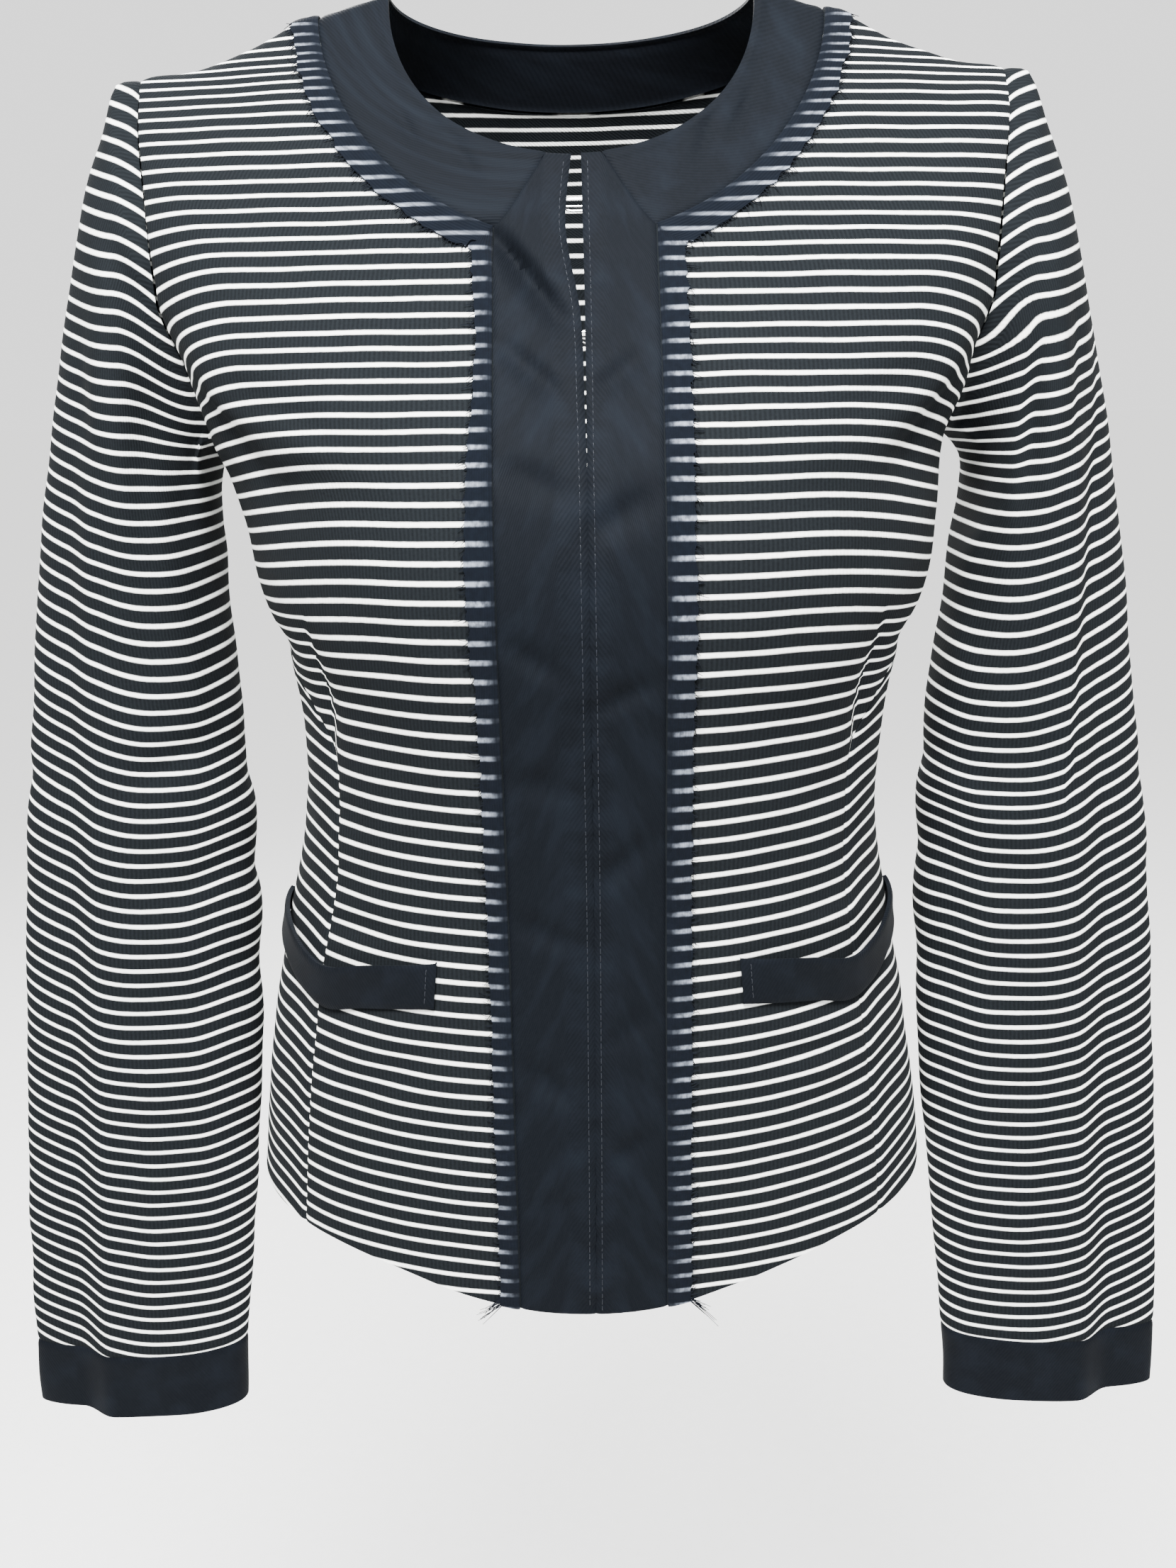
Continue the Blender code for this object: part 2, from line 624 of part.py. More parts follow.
def make_ribbon(collection):
    """The raw-edge ribbon lies on the front along the band, turns the corner, and
    follows the neckband over the shoulder to the centre back."""
    front_points, front_normals = surface_of(front_places())
    back_points, back_normals = surface_of(back_half_places())
    last = len(front_points) - 1
    stations = [((r, 0), (r, 1)) for r in range(last, 2, -1)] + [((0, 0), (1, 1))]
    stations += [((0, c), (1, c)) for c in range(2, FRONT_COLUMNS)]
    rows, row_normals = [], []
    for pair in stations:
        rows.append([front_points[r][c] for r, c in pair])
        row_normals.append([front_normals[r][c] for r, c in pair])
    for c in range(BACK_COLUMNS + 1):
        rows.append([back_points[0][c], back_points[1][c]])
        row_normals.append([back_normals[0][c], back_normals[1][c]])
    top = RIBBON_LIFT + RIBBON
    outer = [[p + n * top for p, n in zip(*row)] for row in zip(rows, row_normals)]
    outer = parted(outer, first_row=False, last_column=False)
    for side, word in ((-1, "left"), (1, "right")):
        points, normals = outer, row_normals
        if side < 0:
            points, normals = slimmed(mirrored(outer)), mirrored(row_normals)
        mesh = wall_mesh(f"trim_{word}", points, normals, RIBBON)
        make_piece(f"trim_{word}", mesh, "ribbon", collection)


def make_welts(collection):
    """Each welt is sewn down at its lower edge and its ends, and gapes at the top."""
    first, last = WELT_STATIONS[0].angle, WELT_STATIONS[-1].angle
    rows, row_normals = [], []
    for up in (0.0, 0.5, 1.0):
        row, ns = [], []
        for c in range(WELT_COLUMNS + 1):
            share = c / WELT_COLUMNS
            degrees_round = first + (last - first) * share
            height = -WELT["below"](degrees_round) + WELT_HEIGHT * up
            angle = radians(degrees_round)
            place = (angle, ring_at_height(angle, height))
            normal = body_normal(*place)
            gape = WELT_GAPE * sin(pi * share) * up**1.5
            row.append(body_point(*place) + normal * (WELT_LIFT + TWILL + gape))
            ns.append(normal)
        rows.append(row)
        row_normals.append(ns)
    for side, word in ((-1, "left"), (1, "right")):
        points, normals = rows, row_normals
        if side < 0:
            points, normals = slimmed(mirrored(rows)), mirrored(row_normals)
        mesh = wall_mesh(f"welt_{word}", points, normals, TWILL)
        make_piece(f"welt_{word}", mesh, "twill", collection)


# ---------------------------------------------------------------- sleeves
def sleeve_section(ring, round_angle, side):
    """A point of the sleeve's tube. round_angle is 0 at the outer line, pi / 2 at the
    front and pi at the inner line. side is -1 or 1."""
    swing = SLEEVE["swing"](ring) if side > 0 else 0.0
    outer = Vector((SLEEVE["outer_x"](ring), 0.0, SLEEVE["outer_z"](ring)))
    inner = Vector((SLEEVE["inner_x"](ring) + swing, 0.0, SLEEVE["inner_z"](ring)))
    to_front = sin(round_angle) > 0
    depth = SLEEVE["front" if to_front else "back"](ring)
    across = signed_power(cos(round_angle), 0.92)
    ahead = signed_power(sin(round_angle), 0.92)
    point = (outer + inner) / 2 + (outer - inner) / 2 * across
    grown = smooth_step((ring - 1) / 6)
    relief = 0.0
    if to_front:
        # the outer part of the front lies back, and a soft step runs down the sleeve
        relief = SLEEVE_STEP * grown * ahead * smooth_step((across - 0.20) / 0.35)
    point.y = SLEEVE["middle_y"](ring) - depth * ahead + relief
    return point


def sleeve_folds(ring, round_angle):
    """The pull from the underarm and the soft bends at the elbow, as a depth."""
    front = max(sin(round_angle), 0.0)
    along = cos(round_angle)
    pull = UNDERARM_PULL
    near = ((along - pull.along) / pull.wide) ** 2 + ((ring - pull.ring) / pull.long) ** 2
    depth = pull.depth * exp(-near) * front
    for bend in ELBOW_BENDS:
        off = (ring - bend.ring - bend.slant * along) / bend.long
        depth += bend.depth * exp(-off * off) * smooth_step((0.4 - along) / bend.wide)
    return depth


def sleeve_grid(side):
    """Rows from the armhole to the cuff's lower edge, columns round the sleeve, laid out
    on the right. side is -1 or 1."""
    turns = armhole_turns()
    places = [armhole_place(turn) for turn in turns]
    armhole = [body_point(*place) for place in places]
    outward = [body_normal(*place) for place in places]
    away = Vector((1.0, 0.0, 0.0))
    edge = [p + (away + n).normalized() * SEAM_GAP for p, n in zip(armhole, outward)]
    start_angles = []
    top, bottom = armhole[0], armhole[ARMHOLE_ROWS]
    centre, half = (top + bottom) / 2, (top - bottom) / 2
    for point in armhole:
        across = (point - centre).dot(half) / half.length_squared
        start_angles.append(atan2(-point.y / SLEEVE["front"](0), across) % (2 * pi))
    start_angles[0] = 0.0
    even = [2 * pi * k / len(turns) for k in range(len(turns))]
    grid = []
    for ring in range(len(SLEEVE_RINGS)):
        settle = smooth_step(ring / 8)
        keep = 1 - smooth_step(ring / SLEEVE_BLEND_RINGS)
        row = []
        for start, final, armhole_point in zip(start_angles, even, edge):
            angle = start + (final - start) * settle
            point = sleeve_section(ring, angle, side)
            point += (armhole_point - sleeve_section(0, start, side)) * keep
            inward = (sleeve_section(ring, angle + pi, side) - point).normalized()
            row.append(point + inward * sleeve_folds(ring, angle))
        grid.append(row)
    return grid


def grid_normals(grid):
    """Normals of a grid that closes round, from its own neighbours."""
    rows, wide = len(grid), len(grid[0])
    normals = []
    for r, row in enumerate(grid):
        above, below = grid[max(r - 1, 0)], grid[min(r + 1, rows - 1)]
        normals.append([
            (below[c] - above[c]).cross(row[(c + 1) % wide] - row[c - 1]).normalized()
            for c in range(wide)
        ])
    return normals


def make_sleeves(collection):
    for side, word in ((-1, "left"), (1, "right")):
        points = sleeve_grid(side)
        ns = grid_normals(points)
        middle = sum(points[10], Vector()) / len(points[10])
        if ns[10][0].dot(points[10][0] - middle) < 0:
            ns = [[-n for n in row] for row in ns]
        if side < 0:
            points, ns = mirrored(points), mirrored(ns)
        tube = parted(points[: CUFF_SEAM_RING + 1], first_row=False, first_column=False, last_column=False)
        mesh = wall_mesh(f"sleeve_{word}", tube, ns, JERSEY, closed_round=True)
        make_piece(f"sleeve_{word}", mesh, "jersey", collection)
        cuff = parted(points[CUFF_SEAM_RING:], last_row=False, first_column=False, last_column=False)
        mesh = wall_mesh(f"cuff_{word}", cuff, ns[CUFF_SEAM_RING:], TWILL, closed_round=True)
        make_piece(f"cuff_{word}", mesh, "twill", collection)


# ---------------------------------------------------------------- hooks and eyes
def make_wire(name, points, collection):
    curve = bpy.data.curves.new(name, "CURVE")
    curve.dimensions = "3D"
    curve.bevel_depth = WIRE_RADIUS
    curve.bevel_resolution = 1
    curve.use_fill_caps = True
    spline = curve.splines.new("POLY")
    spline.points.add(len(points) - 1)
    for target, point in zip(spline.points, points):
        target.co = (*point, 1)
    curve.materials.append(cloth_material("steel"))
    wire = bpy.data.objects.new(name, curve)
    collection.objects.link(wire)


def loop_points(foot_x, tip_x, half_height, round_steps=4):
    """A wire loop in a plane: two legs and a round tip, as (x, z) pairs."""
    way = 1 if tip_x > foot_x else -1
    centre_x = tip_x - way * half_height
    points = [(foot_x, half_height)]
    for k in range(round_steps + 1):
        angle = pi / 2 - pi * k / round_steps
        points.append((centre_x + way * half_height * cos(angle), half_height * sin(angle)))
    return points + [(foot_x, -half_height)]


def make_closures(collection):
    """A hook under the left band's edge reaches through an eye under the right one's."""
    for number, height in enumerate(HOOK_HEIGHTS, start=1):
        ring = ring_at_height(0.0, height)
        surface, normal = body_point(0.0, ring), body_normal(0.0, ring)
        up = Vector((0.0, -normal.z, normal.y)) * (1 if normal.y > 0 else -1)
        left, right = EDGE["left"](-height), EDGE["right"](-height)
        under = TWILL + SEAM_GAP + WIRE_RADIUS
        deeper = under + 2 * WIRE_RADIUS + SEAM_GAP
        hook = loop_points(left - LOOP_FOOT, right + HOOK_REACH, HOOK_HALF_HEIGHT)
        eye = loop_points(right + LOOP_FOOT, left - EYE_REACH, EYE_HALF_HEIGHT)
        for name, flat, depth in (("hook", hook, under), ("eye", eye, deeper)):
            base = surface - normal * depth
            points = [base + Vector((x, 0.0, 0.0)) + up * z for x, z in flat]
            make_wire(f"{name}_{number}", points, collection)


def main():
    for old in list(bpy.data.objects):
        bpy.data.objects.remove(old)
    collection = bpy.data.collections.new("striped_jacket")
    bpy.context.scene.collection.children.link(collection)
    make_body(collection)
    make_ribbon(collection)
    make_welts(collection)
    make_sleeves(collection)
    make_closures(collection)


main()
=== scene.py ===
"""The looks of a short, fitted, striped jersey jacket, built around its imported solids.

Each piece of cloth repeats the part's own construction on a finer grid, and adds the
creases, the edges that roll into the seams, the stitches and the frayed ribbon. Metres,
+Z up, the front faces -Y. Left is -X. Stripes and weaves are drawn on the cloth's own
map, in metres of cloth: first across it, then up it.
"""

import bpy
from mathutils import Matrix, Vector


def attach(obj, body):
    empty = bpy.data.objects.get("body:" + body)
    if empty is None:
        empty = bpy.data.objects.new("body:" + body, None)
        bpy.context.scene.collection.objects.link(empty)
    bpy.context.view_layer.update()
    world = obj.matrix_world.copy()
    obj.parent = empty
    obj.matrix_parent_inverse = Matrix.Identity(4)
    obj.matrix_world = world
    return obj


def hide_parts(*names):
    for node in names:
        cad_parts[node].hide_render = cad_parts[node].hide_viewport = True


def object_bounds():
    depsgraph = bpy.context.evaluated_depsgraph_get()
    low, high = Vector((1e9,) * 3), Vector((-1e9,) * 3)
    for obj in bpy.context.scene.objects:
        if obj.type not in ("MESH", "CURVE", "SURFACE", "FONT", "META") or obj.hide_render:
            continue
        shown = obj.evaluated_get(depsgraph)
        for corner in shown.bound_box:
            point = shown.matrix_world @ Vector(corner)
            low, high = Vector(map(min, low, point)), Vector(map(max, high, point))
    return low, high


bl_info = {
    "name": "Striped Jersey Jacket",
    "version": (1, 0, 0),
    "blender": (4, 5, 0),
    "location": "3D View > Sidebar > Jacket",
    "description": "Builds the cloth, ribbon, stitches and closures of a short jersey jacket",
    "category": "Object",
}

from collections import namedtuple
from math import pi, radians

import bpy
import numpy as np
from bpy.props import FloatProperty, FloatVectorProperty, PointerProperty
from mathutils import Matrix, Vector

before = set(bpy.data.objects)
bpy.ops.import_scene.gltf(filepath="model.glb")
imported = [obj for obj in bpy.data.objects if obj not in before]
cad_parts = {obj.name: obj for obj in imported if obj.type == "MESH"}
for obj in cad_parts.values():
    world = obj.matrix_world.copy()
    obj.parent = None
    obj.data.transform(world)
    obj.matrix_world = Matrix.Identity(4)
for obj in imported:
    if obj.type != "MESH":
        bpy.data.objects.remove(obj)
CAD_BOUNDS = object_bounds()

# ---------------------------------------------------------------- sizes of the cut
SEAM_GAP = 0.00003  # what parts two pieces at a seam
MITRE_GAP = 8 * SEAM_GAP  # what parts the neckband from the bands
SEAM_ALLOWANCE = 0.0006  # how far a front reaches in under its band
RIBBON_LIFT = 0.0004  # what parts the ribbon from the jersey that it lies on
WELT_LIFT = 0.0006  # and a welt
BAND_WIDTH = 0.0297
BAND_MIDDLE = 0.02
BAND_TOP_EDGE = 0.0105  # how far from the centre front a band's mitre starts
RIBBON_WIDTH = 0.0105
ARMHOLE_SPREAD = radians(27.5)  # half the armhole's width, as an angle round the body
ARMHOLE_FRONT_POWER = 2.0  # the armhole's roundness: 2 is an ellipse
ARMHOLE_BACK_POWER = 2.6
NECK_SEAM_RING = 1.0
SHOULDER_TIP_RING = 5.0
UNDERARM_RING = 9.0
HEM_RING = 22.0
SIDE_TOP_TURN = radians(226)  # where along the armhole the side panel ends and the back starts
SIDE_BLEND_RINGS = 3  # how many rings the back's seam takes from the armhole to its own angle
WELT_HEIGHT = 0.0190
WELT_GAPE = 0.0046  # how far a welt's upper edge stands off in its middle
HOOKS = 7
SIDES = (-1, 1)  # left and right

# The body is a stack of rings, from the neckline out over the shoulders and down to
# the hem. half is half the width, front and back are the depths from the side line,
# side_z, front_z and back_z the heights there. square is the ring's power: 2 is an
# ellipse. fall says how late the ring drops from the side to the front.
Ring = namedtuple("Ring", "half front back side_z front_z back_z square fall")
RINGS = (
    Ring(0.0705, 0.0520, 0.0560, 0.0030, -0.0610, -0.0060, 2.00, 0.80),  # neckline
    Ring(0.0975, 0.0690, 0.0720, -0.0045, -0.0915, -0.0300, 2.00, 1.10),  # neckband seam
    Ring(0.1080, 0.0755, 0.0780, -0.0078, -0.1024, -0.0400, 2.02, 1.15),  # ribbon edge
    Ring(0.1260, 0.0830, 0.0850, -0.0165, -0.1128, -0.0550, 2.03, 1.18),
    Ring(0.1480, 0.0890, 0.0900, -0.0235, -0.1217, -0.0700, 2.00, 1.20),
    Ring(0.1680, 0.0945, 0.0940, -0.0265, -0.1300, -0.0850, 1.92, 1.18),  # shoulder tip
    Ring(0.1765, 0.1015, 0.0970, -0.0450, -0.1408, -0.1000, 1.96, 1.22),
    Ring(0.1785, 0.1100, 0.1000, -0.0850, -0.1550, -0.1190, 1.99, 1.42),
    Ring(0.1680, 0.1175, 0.1028, -0.1260, -0.1704, -0.1440, 2.03, 1.72),
    Ring(0.1485, 0.1225, 0.1045, -0.1630, -0.1868, -0.1700, 2.10, 2.00),  # underarm
    Ring(0.1458, 0.1255, 0.1045, -0.1900, -0.2060, -0.1930, 2.20, 2.00),  # bust
    Ring(0.1433, 0.1265, 0.1020, -0.2130, -0.2260, -0.2150, 2.25, 2.00),
    Ring(0.1366, 0.1255, 0.0980, -0.2370, -0.2460, -0.2380, 2.25, 2.00),
    Ring(0.1305, 0.1235, 0.0930, -0.2550, -0.2610, -0.2560, 2.25, 2.00),
    Ring(0.1270, 0.1207, 0.0885, -0.2790, -0.2830, -0.2800, 2.25, 2.00),
    Ring(0.1253, 0.1180, 0.0850, -0.3050, -0.3070, -0.3060, 2.25, 2.00),  # waist
    Ring(0.1262, 0.1162, 0.0850, -0.3280, -0.3290, -0.3280, 2.25, 2.00),
    Ring(0.1300, 0.1152, 0.0890, -0.3540, -0.3540, -0.3540, 2.25, 2.00),
    Ring(0.1352, 0.1155, 0.0950, -0.3800, -0.3800, -0.3800, 2.25, 2.00),
    Ring(0.1405, 0.1163, 0.1000, -0.4080, -0.4080, -0.4080, 2.25, 2.00),
    Ring(0.1446, 0.1170, 0.1040, -0.4330, -0.4400, -0.4340, 2.25, 4.00),
    Ring(0.1479, 0.1175, 0.1060, -0.4580, -0.4720, -0.4620, 2.25, 7.00),
    Ring(0.1504, 0.1178, 0.1078, -0.4830, -0.5030, -0.4900, 2.25, 9.00),  # hem
)

# How far the left side is drawn in, at a height below the origin.
Slimming = namedtuple("Slimming", "below inward")
LEFT_SLIMMING = (
    Slimming(-0.010, 0.0),
    Slimming(0.163, 0.0),
    Slimming(0.176, 0.0045),
    Slimming(0.192, 0.0085),
    Slimming(0.212, 0.0098),
    Slimming(0.236, 0.0098),
    Slimming(0.262, 0.0088),
    Slimming(0.290, 0.0068),
    Slimming(0.320, 0.0042),
    Slimming(0.350, 0.0018),
    Slimming(0.380, 0.0),
    Slimming(0.510, 0.0),
)
SLIMMING_START = 0.035  # how far from the centre front it begins
SLIMMING_FULL = 0.110  # and from where on the whole of it applies

# Angles round the body from the centre front, in degrees, at a height below the origin:
# where the front meets the side panel, and where the side panel meets the back.
SeamAngle = namedtuple("SeamAngle", "below front_seam back_seam")
SEAM_ANGLES = (
    SeamAngle(0.163, 90.0, 112.0),
    SeamAngle(0.205, 88.0, 108.0),
    SeamAngle(0.235, 82.0, 106.0),
    SeamAngle(0.250, 71.0, 105.0),
    SeamAngle(0.262, 61.0, 104.0),
    SeamAngle(0.278, 54.5, 104.0),
    SeamAngle(0.310, 52.8, 104.0),
    SeamAngle(0.400, 52.5, 104.0),
    SeamAngle(0.505, 52.0, 104.0),
)

# The centre-front edges of the two bands, as x at a height below the origin.
FrontEdge = namedtuple("FrontEdge", "below left right")
FRONT_EDGES = (
    FrontEdge(0.060, -0.0008, 0.0026),
    FrontEdge(0.085, -0.0034, 0.0028),
    FrontEdge(0.118, 0.0015, 0.0030),
    FrontEdge(0.150, 0.0024, 0.0029),
    FrontEdge(0.180, 0.0028, 0.0027),
    FrontEdge(0.300, 0.0028, 0.0027),
    FrontEdge(0.420, 0.0019, 0.0018),
    FrontEdge(0.505, 0.0009, 0.0008),
)

# The part's own soft troughs, from (angle, below) to (angle, below).
Fold = namedtuple("Fold", "angle_a below_a angle_b below_b width depth")
DART = Fold(51.0, 0.232, 54.0, 0.285, 0.0060, 0.0022)
BODY_FOLDS = (
    DART,
    Fold(62.0, 0.137, 50.0, 0.176, 0.0110, 0.0040),  # from the armhole
    Fold(84.0, 0.243, 62.0, 0.240, 0.0070, 0.0026),  # under the bust at the side
    Fold(125.0, 0.300, 150.0, 0.318, 0.0120, 0.0030),  # small of the back
    Fold(122.0, 0.345, 160.0, 0.337, 0.0120, 0.0030),
)
FOLD_TAPER = 0.12  # how much of a half wave is cut off at each end of a trough

Swell = namedtuple("Swell", "x z wide tall rise")
BUST = Swell(0.078, -0.198, 0.050, 0.055, 0.010)

# A sleeve is a tube between its outer and its inner line. front and back are the
# depths from the line's middle, middle_y says where that lies. swing is how much further
# out the right sleeve's inner line hangs.
SleeveRing = namedtuple("SleeveRing", "outer_x outer_z inner_x inner_z front back middle_y swing")
SLEEVE_RINGS = (
    SleeveRing(0.1683, -0.0262, 0.1485, -0.1630, 0.0480, 0.0460, 0.0000, 0.0000),  # armhole
    SleeveRing(0.1768, -0.0272, 0.1510, -0.1660, 0.0500, 0.0480, 0.0000, 0.0035),
    SleeveRing(0.1842, -0.0450, 0.1520, -0.1720, 0.0520, 0.0500, 0.0000, 0.0080),
    SleeveRing(0.1915, -0.0660, 0.1522, -0.1800, 0.0530, 0.0510, 0.0000, 0.0105),
    SleeveRing(0.1972, -0.0900, 0.1528, -0.1900, 0.0530, 0.0510, 0.0000, 0.0100),
    SleeveRing(0.2045, -0.1150, 0.1530, -0.2020, 0.0520, 0.0500, 0.0000, 0.0085),
    SleeveRing(0.2117, -0.1420, 0.1520, -0.2170, 0.0500, 0.0490, 0.0000, 0.0064),
    SleeveRing(0.2185, -0.1700, 0.1520, -0.2350, 0.0470, 0.0460, 0.0000, 0.0042),
    SleeveRing(0.2253, -0.2010, 0.1508, -0.2560, 0.0440, 0.0430, 0.0000, 0.0022),
    SleeveRing(0.2312, -0.2320, 0.1492, -0.2770, 0.0405, 0.0400, 0.0000, 0.0008),
    SleeveRing(0.2360, -0.2630, 0.1478, -0.2990, 0.0375, 0.0370, -0.0010, 0.0000),
    SleeveRing(0.2408, -0.2950, 0.1468, -0.3230, 0.0350, 0.0345, -0.0020, 0.0000),
    SleeveRing(0.2460, -0.3280, 0.1462, -0.3480, 0.0330, 0.0320, -0.0035, 0.0000),
    SleeveRing(0.2500, -0.3610, 0.1466, -0.3750, 0.0310, 0.0300, -0.0050, 0.0000),
    SleeveRing(0.2535, -0.3950, 0.1480, -0.4030, 0.0290, 0.0275, -0.0070, 0.0000),
    SleeveRing(0.2565, -0.4290, 0.1500, -0.4330, 0.0270, 0.0250, -0.0090, 0.0000),
    SleeveRing(0.2595, -0.4630, 0.1528, -0.4650, 0.0245, 0.0220, -0.0110, 0.0000),
    SleeveRing(0.2622, -0.4950, 0.1562, -0.4950, 0.0225, 0.0200, -0.0125, 0.0000),
    SleeveRing(0.2645, -0.5260, 0.1598, -0.5260, 0.0205, 0.0180, -0.0140, 0.0000),
    SleeveRing(0.2665, -0.5550, 0.1634, -0.5550, 0.0190, 0.0165, -0.0150, 0.0000),
    SleeveRing(0.2680, -0.5820, 0.1664, -0.5820, 0.0180, 0.0155, -0.0150, 0.0000),  # cuff seam
    SleeveRing(0.2688, -0.5990, 0.1680, -0.5990, 0.0175, 0.0150, -0.0150, 0.0000),
    SleeveRing(0.2692, -0.6150, 0.1692, -0.6150, 0.0172, 0.0150, -0.0150, 0.0000),  # cuff edge
)
CUFF_SEAM_RING = 20
CUFF_EDGE_RING = 22
SLEEVE_BLEND_RINGS = 4  # how many rings a sleeve takes from the armhole's line to its own
ROUND_BLEND_RINGS = 8  # and how many its columns take to lie evenly round it
SLEEVE_ROUNDNESS = 0.92  # 1 makes a sleeve's section an ellipse
ARMHOLE_ROWS = 9  # corners of the part's armhole: along the front,
SIDE_COLUMNS = 5  # under the arm,
BACK_ARMHOLE_ROWS = 7  # and along the back
CORNER_CUTS = 6  # how many columns of a sleeve there are to each of these

# across runs from -1 at a sleeve's inner line to 1 at its outer line, and lengths down
# the sleeve are in rings.
Pull = namedtuple("Pull", "across ring wide long depth")
UNDERARM_PULL = Pull(-0.35, 4.5, 0.22, 2.20, 0.0050)
Bend = namedtuple("Bend", "across wide long slant depth")
ELBOW_BEND = Bend(0.4, 0.80, 0.55, 0.8, 0.0018)
ELBOW_BEND_RINGS = (10.6, 12.6, 14.4)

# How much flatter a sleeve's front is from a place across it outwards. It begins at a
# ring, and the whole of it applies a number of rings further down.
Flattening = namedtuple("Flattening", "depth ring rings across reach")
FLAT_FRONT = Flattening(0.0085, 1, 6, 0.20, 0.35)

# Each pocket welt runs from the front round to the side. below is its lower edge.
WeltStation = namedtuple("WeltStation", "angle below")
WELT_STATIONS = (
    WeltStation(23.5, 0.3733),
    WeltStation(38.0, 0.3785),
    WeltStation(49.0, 0.3840),
    WeltStation(56.5, 0.3815),
    WeltStation(68.0, 0.3755),
    WeltStation(82.0, 0.3720),
)

# ---------------------------------------------------------------- sizes of the finish
# Where the stripes lie on the fronts: the number of a stripe, counted down from one on
# the chest, and how far below the origin it runs level.
StripeLevel = namedtuple("StripeLevel", "below number")
STRIPE_LEVELS = (
    StripeLevel(-0.010, -24.0),
    StripeLevel(0.0175, -18.0),
    StripeLevel(0.0310, -14.0),
    StripeLevel(0.0480, -10.0),
    StripeLevel(0.0690, -6.0),
    StripeLevel(0.0795, -4.0),
    StripeLevel(0.1005, 0.0),
    StripeLevel(0.1234, 4.0),
    StripeLevel(0.1453, 8.0),
    StripeLevel(0.1680, 12.0),
    StripeLevel(0.1936, 16.0),
    StripeLevel(0.2205, 20.0),
    StripeLevel(0.2485, 24.0),
    StripeLevel(0.3065, 32.0),
    StripeLevel(0.3620, 40.0),
    StripeLevel(0.4156, 48.0),
    StripeLevel(0.4680, 56.0),
    StripeLevel(0.5200, 64.0),
)
RIGHT_STRIPES_OFF = -0.9  # the right side's stripes, in repeats, against the left's
BETWEEN_STRIPES = 0.5  # the number midway between two stripes, where the cloth is dark
SEAM_SHADE_WIDTH = 0.0033  # how wide a front's edge is painted dark beside the band and the neckband: painted shade in the seam

# How far the stripes sink: at the armhole's edge, and at the left and right side.
StripeSink = namedtuple("StripeSink", "below armhole left right")
STRIPE_SINKS = (
    StripeSink(-0.010, 0.0000, 0.0000, 0.0000),
    StripeSink(0.065, 0.0000, 0.0000, 0.0000),
    StripeSink(0.077, 0.0012, 0.0000, 0.0000),
    StripeSink(0.092, 0.0044, 0.0000, 0.0000),
    StripeSink(0.106, 0.0081, 0.0000, 0.0000),
    StripeSink(0.118, 0.0114, 0.0000, 0.0000),
    StripeSink(0.127, 0.0129, 0.0000, 0.0000),
    StripeSink(0.134, 0.0120, 0.0010, 0.0010),
    StripeSink(0.140, 0.0075, 0.0050, 0.0060),
    StripeSink(0.150, 0.0010, 0.0100, 0.0115),
    StripeSink(0.163, 0.0000, 0.0106, 0.0128),
    StripeSink(0.200, 0.0000, 0.0110, 0.0136),
    StripeSink(0.225, 0.0000, 0.0106, 0.0134),
    StripeSink(0.240, 0.0000, 0.0070, 0.0100),
    StripeSink(0.262, 0.0000, 0.0020, 0.0030),
    StripeSink(0.285, 0.0000, 0.0000, 0.0000),
    StripeSink(0.520, 0.0000, 0.0000, 0.0000),
)
SINK_REACH = 0.056  # from how far off the armhole's edge makes them sink

# How much higher the stripes lie outside the dart than inside it.
DartLift = namedtuple("DartLift", "below lift")
DART_LIFTS = (
    DartLift(0.200, 0.0000),
    DartLift(0.221, 0.0000),
    DartLift(0.229, 0.0020),
    DartLift(0.245, 0.0050),
    DartLift(0.262, 0.0078),
    DartLift(0.290, 0.0090),
    DartLift(0.400, 0.0090),
)
DART_LINE = 0.012  # how wide the step beside the dart is, as an angle

# On the sleeves: the number of a stripe counted down from the armhole's middle, the
# place across from which the stripes climb outwards, and how far they rise from there
# to the inner line, on the left and on the right.
SleeveLevel = namedtuple("SleeveLevel", "below number kink left_rise right_rise")
SLEEVE_LEVELS = (
    SleeveLevel(0.015, -18.0, 0.160, -0.0060, -0.0060),
    SleeveLevel(0.0684, -10.0, 0.168, -0.0074, -0.0074),
    SleeveLevel(0.1000, -5.2, 0.178, -0.0095, -0.0095),
    SleeveLevel(0.1170, -2.6, 0.180, -0.0120, -0.0110),
    SleeveLevel(0.1338, 0.0, 0.1805, -0.0120, -0.0090),
    SleeveLevel(0.1535, 3.0, 0.180, -0.0090, -0.0050),
    SleeveLevel(0.1700, 5.5, 0.1785, -0.0035, -0.0030),
    SleeveLevel(0.1870, 8.0, 0.1775, 0.0000, 0.0000),
    SleeveLevel(0.2209, 13.0, 0.1775, 0.0036, 0.0042),
    SleeveLevel(0.2717, 20.0, 0.183, 0.0042, 0.0046),
    SleeveLevel(0.3317, 29.0, 0.196, 0.0038, 0.0040),
    SleeveLevel(0.3863, 37.0, 0.205, 0.0032, 0.0034),
    SleeveLevel(0.5820, 66.0, 0.214, 0.0030, 0.0030),
    SleeveLevel(0.6300, 73.0, 0.215, 0.0030, 0.0030),
)
PANEL_JOG = 0.4  # the left side panel's stripes, in repeats, against the front's
PANEL_CLIMB = 0.0032  # how far a side panel's stripes climb in the middle of what shows
PANEL_SHOWS = 0.02  # how far back a side panel can be seen from the front
PANEL_LEAST = 0.004  # the least width of it that the climb is spread over
SLEEVE_CLIMB = 0.37  # how steeply a sleeve's stripes fall to the outer line
KINK_SOFTNESS = 0.008
SLEEVE_RISE_START = 0.173
SLEEVE_RISE_REACH = 0.022

# Down the sleeve, the rise to the inner line starts further in and then further out.
RiseShift = namedtuple("RiseShift", "below reach outward")
RISE_SHIFTS = (RiseShift(0.17, 0.05, -0.010), RiseShift(0.28, 0.10, 0.014))

